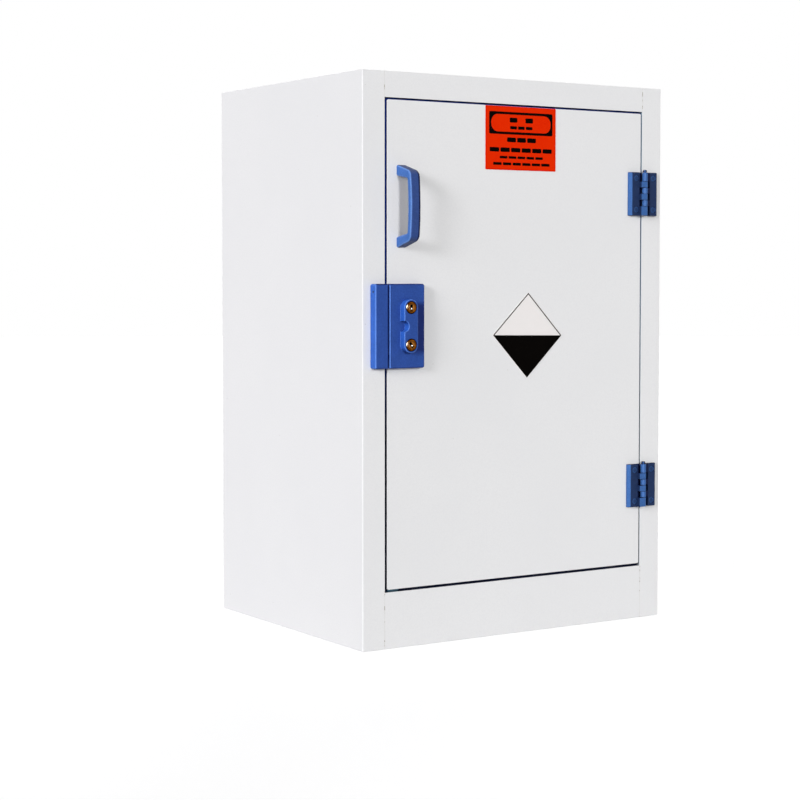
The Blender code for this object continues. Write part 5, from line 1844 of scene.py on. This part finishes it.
@dataclass
class Stickers:
    """The two stickers: an orange one with a dark header and rows of plain bars, and a two-tone diamond."""

    finishes: Finishes
    film_corner: float = 0.0012
    film_sink: float = 0.0002
    film_rim: float = 0.0001
    ink_depth: float = 0.00005
    ink_sink: float = 0.0001
    ink_rim: float = 0.00001
    bar_rounding: float = 0.22
    window_rounding: float = 0.46
    header: tuple[float, float, float, float] = (0.0069, 0.0088, 0.1324, 0.0444)
    header_corner: float = 0.0025
    window: tuple[float, float, float, float] = (0.0108, 0.0128, 0.1285, 0.0404)
    rows: tuple[BarRow, ...] = (
        BarRow(0.0470, 0.0930, 0.0215, 0.0078, 2, 0.0160),
        BarRow(0.0480, 0.0920, 0.0336, 0.0050, 3),
        BarRow(0.0420, 0.0990, 0.0529, 0.0074, 3),
        BarRow(0.0080, 0.1310, 0.0690, 0.0070, 6),
        BarRow(0.0277, 0.1130, 0.0809, 0.0040, 5),
        BarRow(0.0147, 0.1267, 0.0912, 0.0044, 6),
    )
    red_edge: float = 0.0016
    diamond_growth: float = 0.0012
    diamond_margin: float = 0.0008
    diamond_turn: float = math.radians(1.1)
    keyline: float = 0.0017

    def ink(self, outline: Array, front: float, layer: int, height: int = 1) -> Shell:
        """A printed field: an outline a hair thicker than the film under it."""
        level = front - height * self.ink_depth
        return slab(outline, Along.Y, level, front + self.ink_sink, self.ink_rim).in_layer(layer)

    def field_on(self, left: float, top: float, edges: Numbers, corner: float) -> Array:
        """A rounded rectangle given from the sticker's left and top edges."""
        return rectangle((left + edges[0], top - edges[3]), (left + edges[2], top - edges[1]), corner)

    def bars(self, row: BarRow, left: float, top: float) -> list[Array]:
        """The outlines of a row's bars: count equal lengths with a gap between neighbours."""
        length = (row.end - row.start - (row.count - 1) * row.gap) / row.count
        starts = row.start + np.arange(row.count) * (length + row.gap)
        upper, lower = row.level - row.height / 2, row.level + row.height / 2
        edges = [(start, upper, start + length, lower) for start in starts]
        return [self.field_on(left, top, edge, row.height * self.bar_rounding) for edge in edges]

    def orange(self) -> Piece:
        """The orange sticker."""
        low, high = reach("label_panel")
        left, top, front = low[0], high[2], low[1]
        outline = rectangle(low[[0, 2]], high[[0, 2]], self.film_corner)
        film = slab(outline, Along.Y, front, high[1] + self.film_sink, self.film_rim)
        edge = self.red_edge
        plain = rectangle(low[[0, 2]] + edge, high[[0, 2]] - edge, self.film_corner)
        window_corner = (self.window[3] - self.window[1]) * self.window_rounding
        parts = [
            film.in_layer(2),
            self.ink(plain, front, 0),
            self.ink(self.field_on(left, top, self.header, self.header_corner), front, 1, 2),
            self.ink(self.field_on(left, top, self.window, window_corner), front, 0, 3),
        ]
        for number, row in enumerate(self.rows):
            parts += [self.ink(bar, front, 1, 4 if number < 2 else 2) for bar in self.bars(row, left, top)]
        finishes = [self.finishes.orange, self.finishes.black_ink, self.finishes.red_margin]
        return fit("orange_sticker", Shell.together(parts), Body.DOOR, finishes, ["label_panel"])

    def diamond(self) -> Piece:
        """The diamond: white film, a thin keyline round the upper half, and a black lower half."""
        low, high = reach("label_diamond")
        x, z, front = (low[0] + high[0]) / 2, (low[2] + high[2]) / 2, low[1]
        half = (high[0] - low[0]) / 2 + self.diamond_growth
        cosine, sine = math.cos(self.diamond_turn), math.sin(self.diamond_turn)
        turn = np.array([[cosine, -sine], [sine, cosine]])

        def placed(corners: Corners) -> Array:
            """Corners measured from the diamond's middle, turned as the sticker was stuck on."""
            return anticlockwise(np.asarray(corners) @ turn + np.array([x, z]))

        film_outline = rounded(placed([(-half, 0), (0, -half), (half, 0), (0, half)]), self.film_corner)
        film = slab(film_outline, Along.Y, front, high[1] + self.film_sink, self.film_rim)
        outer = half - self.diamond_margin * math.sqrt(2)
        inner = outer - self.keyline * math.sqrt(2)
        line = placed([(-outer, 0), (-inner, 0), (0, inner), (inner, 0), (outer, 0), (0, outer)])
        lower = placed([(-outer, 0), (0, -outer), (outer, 0)])
        parts = [film]
        for outline, layer in ((line, 1), (lower, 2)):
            rings = stack(outline, Along.Y, [0, 0], [front - self.ink_depth, front + self.ink_sink])
            parts.append(Shell.stacked(rings).in_layer(layer))
        inks = [self.finishes.white_film, self.finishes.keyline_ink, self.finishes.black_ink]
        whole, slot = Shell.together(parts), Slot.BLACK_AND_WHITE
        return fit("diamond_sticker", whole, Body.DOOR, inks, ["label_diamond"])

    def build(self) -> list[Piece]:
        """Build and dress both stickers."""
        return [self.orange(), self.diamond()]


# Studio


@dataclass
class Studio:
    """A pale floor, soft lamps and an even surround."""

    surround: float = 0.30
    floor_colour: Colour = (0.50, 0.50, 0.50)
    floor_shade: Colour = (0.4925, 0.4925, 0.4925)
    floor_roughness: float = 0.9
    floor_gloss: float = 0.1
    floor_reach: float = 14.0
    floor_sides: int = 96
    floor_levels: tuple[float, float] = (-0.021, -0.0004)
    floor_rim: float = 0.004
    front_strength: float = 1.42
    corner_strength: float = 1.36
    side_strength: float = 0.94
    back_strength: float = 2.00
    front_tint: Colour = (1.0, 1.0, 1.0)
    side_tint: Colour = (0.975, 0.970, 1.0)
    floor_glow: float = 0.67

    def floor(self) -> None:
        """A wide round floor that meets the white surround without a line.

        The camera sees its shaded colour plus an even glow, which bring it to white and leave the object's
        shadow.
        """
        ring = circle((0.0, 0.0), self.floor_reach, self.floor_sides)
        shell = slab(ring, Along.Z, *self.floor_levels, self.floor_rim)
        ground = bpy.data.objects.new("studio_floor", shell.to_mesh("studio_floor"))
        show(ground)
        recipe = Recipe("studio_floor_paint")
        shade = recipe.spread(recipe.noise(3.0, 3.0), 0.3, 0.7)
        paint = recipe.mixed(shade, self.floor_colour, self.floor_shade)
        ray = recipe.node("LightPath", {})
        seen = recipe.step("MAXIMUM", ray.outputs["Is Camera Ray"], ray.outputs["Is Glossy Ray"])
        seen = recipe.step("MAXIMUM", seen, ray.outputs["Is Transmission Ray"])
        recipe.finish(paint, self.floor_roughness, None, self.floor_gloss)
        recipe.feed(recipe.shader.inputs["Emission Color"], (1.0, 1.0, 1.0))
        glow = recipe.step("MULTIPLY", seen, self.floor_glow)
        recipe.feed(recipe.shader.inputs["Emission Strength"], glow)
        ground.data.materials.append(recipe.material)

    def world(self) -> None:
        """An even surround that lights at one level and is seen, in camera and in gloss, as white."""
        world = bpy.data.worlds.new("studio_world")
        bpy.context.scene.world = world
        world.use_nodes = True
        tree = world.node_tree
        background = tree.nodes["Background"]
        background.inputs["Color"].default_value = (1.0, 1.0, 1.0, 1.0)
        ray = tree.nodes.new("ShaderNodeLightPath")
        seen = ray.outputs["Is Camera Ray"]
        for kind in ("Is Glossy Ray", "Is Transmission Ray"):
            either = tree.nodes.new("ShaderNodeMath")
            either.operation = "MAXIMUM"
            tree.links.new(seen, either.inputs[0])
            tree.links.new(ray.outputs[kind], either.inputs[1])
            seen = either.outputs[0]
        level = tree.nodes.new("ShaderNodeMapRange")
        level.inputs["To Min"].default_value = self.surround
        tree.links.new(seen, level.inputs["Value"])
        tree.links.new(level.outputs["Result"], background.inputs["Strength"])

    def lamp(
        self, name: str, bearing: float, height: float, strength: float, spread: float, tint: Colour
    ) -> None:
        """A wide, distant lamp.

        Args:
            name: the lamp's name.
            bearing: degrees from the door's front towards its left.
            height: degrees above the floor.
            strength: its light on a surface that faces it.
            spread: how wide it looks, in degrees.
            tint: its colour.
        """
        light = bpy.data.lights.new(name, "SUN")
        light.color = tint
        light.energy = strength
        light.angle = math.radians(spread)
        lamp = bpy.data.objects.new(name, light)
        lamp.rotation_euler = (math.radians(90 - height), 0.0, math.radians(-bearing))
        lamp.location = (0.0, 0.0, 3.0)
        show(lamp)

    def build(self) -> None:
        """Set the floor, the surround, the lamps and the colour view."""
        self.floor()
        self.world()
        self.lamp("front_softbox", 8.0, 12.0, self.front_strength, 9.0, self.front_tint)
        self.lamp("corner_softbox", 66.0, 14.0, self.corner_strength, 15.0, self.side_tint)
        self.lamp("side_softbox", 85.0, 18.0, self.side_strength, 30.0, self.side_tint)
        self.lamp("back_softbox", -135.0, 10.0, self.back_strength, 40.0, self.front_tint)
        bpy.context.scene.view_settings.view_transform = "Standard"


@dataclass
class StudioCamera:
    """The camera, placed as the photograph's was."""

    place: Place = (-1.81431, -2.69231, 0.58353)
    bearing: float = 32.808
    tilt: float = 2.660
    lens: float = 85.51
    sensor: float = 36.0
    shift_up: float = -0.05

    def build(self) -> None:
        """Make the camera and use it."""
        data = bpy.data.cameras.new("studio_camera")
        data.lens = self.lens
        data.sensor_width = self.sensor
        data.shift_y = self.shift_up
        camera = bpy.data.objects.new("studio_camera", data)
        camera.location = self.place
        camera.rotation_euler = (math.radians(90 - self.tilt), 0.0, math.radians(-self.bearing))
        show(camera)
        bpy.context.scene.camera = camera


def main() -> None:
    """Build the cabinet's sub-assemblies in order, then the studio, and report each piece."""
    logging.basicConfig(level=logging.INFO, format="%(name)s: %(message)s")
    StudioCamera().build()
    finishes = Finishes()
    assemblies = [
        Carcass(finishes),
        DoorFrameTrim(finishes),
        Shelf(finishes),
        DoorLeaf(finishes),
        PullHandle(finishes),
        SurfaceHinge(finishes, "upper"),
        SurfaceHinge(finishes, "lower"),
        SurfaceLock(finishes),
        LockCylinder(finishes, "upper", Body.UPPER_LOCK, 0.0),
        LockCylinder(finishes, "lower", Body.LOWER_LOCK, math.radians(35)),
        Stickers(finishes),
    ]
    for assembly in assemblies:
        for piece in assembly.build():
            log.info("%s: %s, %d faces", type(assembly).__name__, piece.name, len(piece.data.polygons))
    Studio().build()


if __name__ == "__main__":
    main()
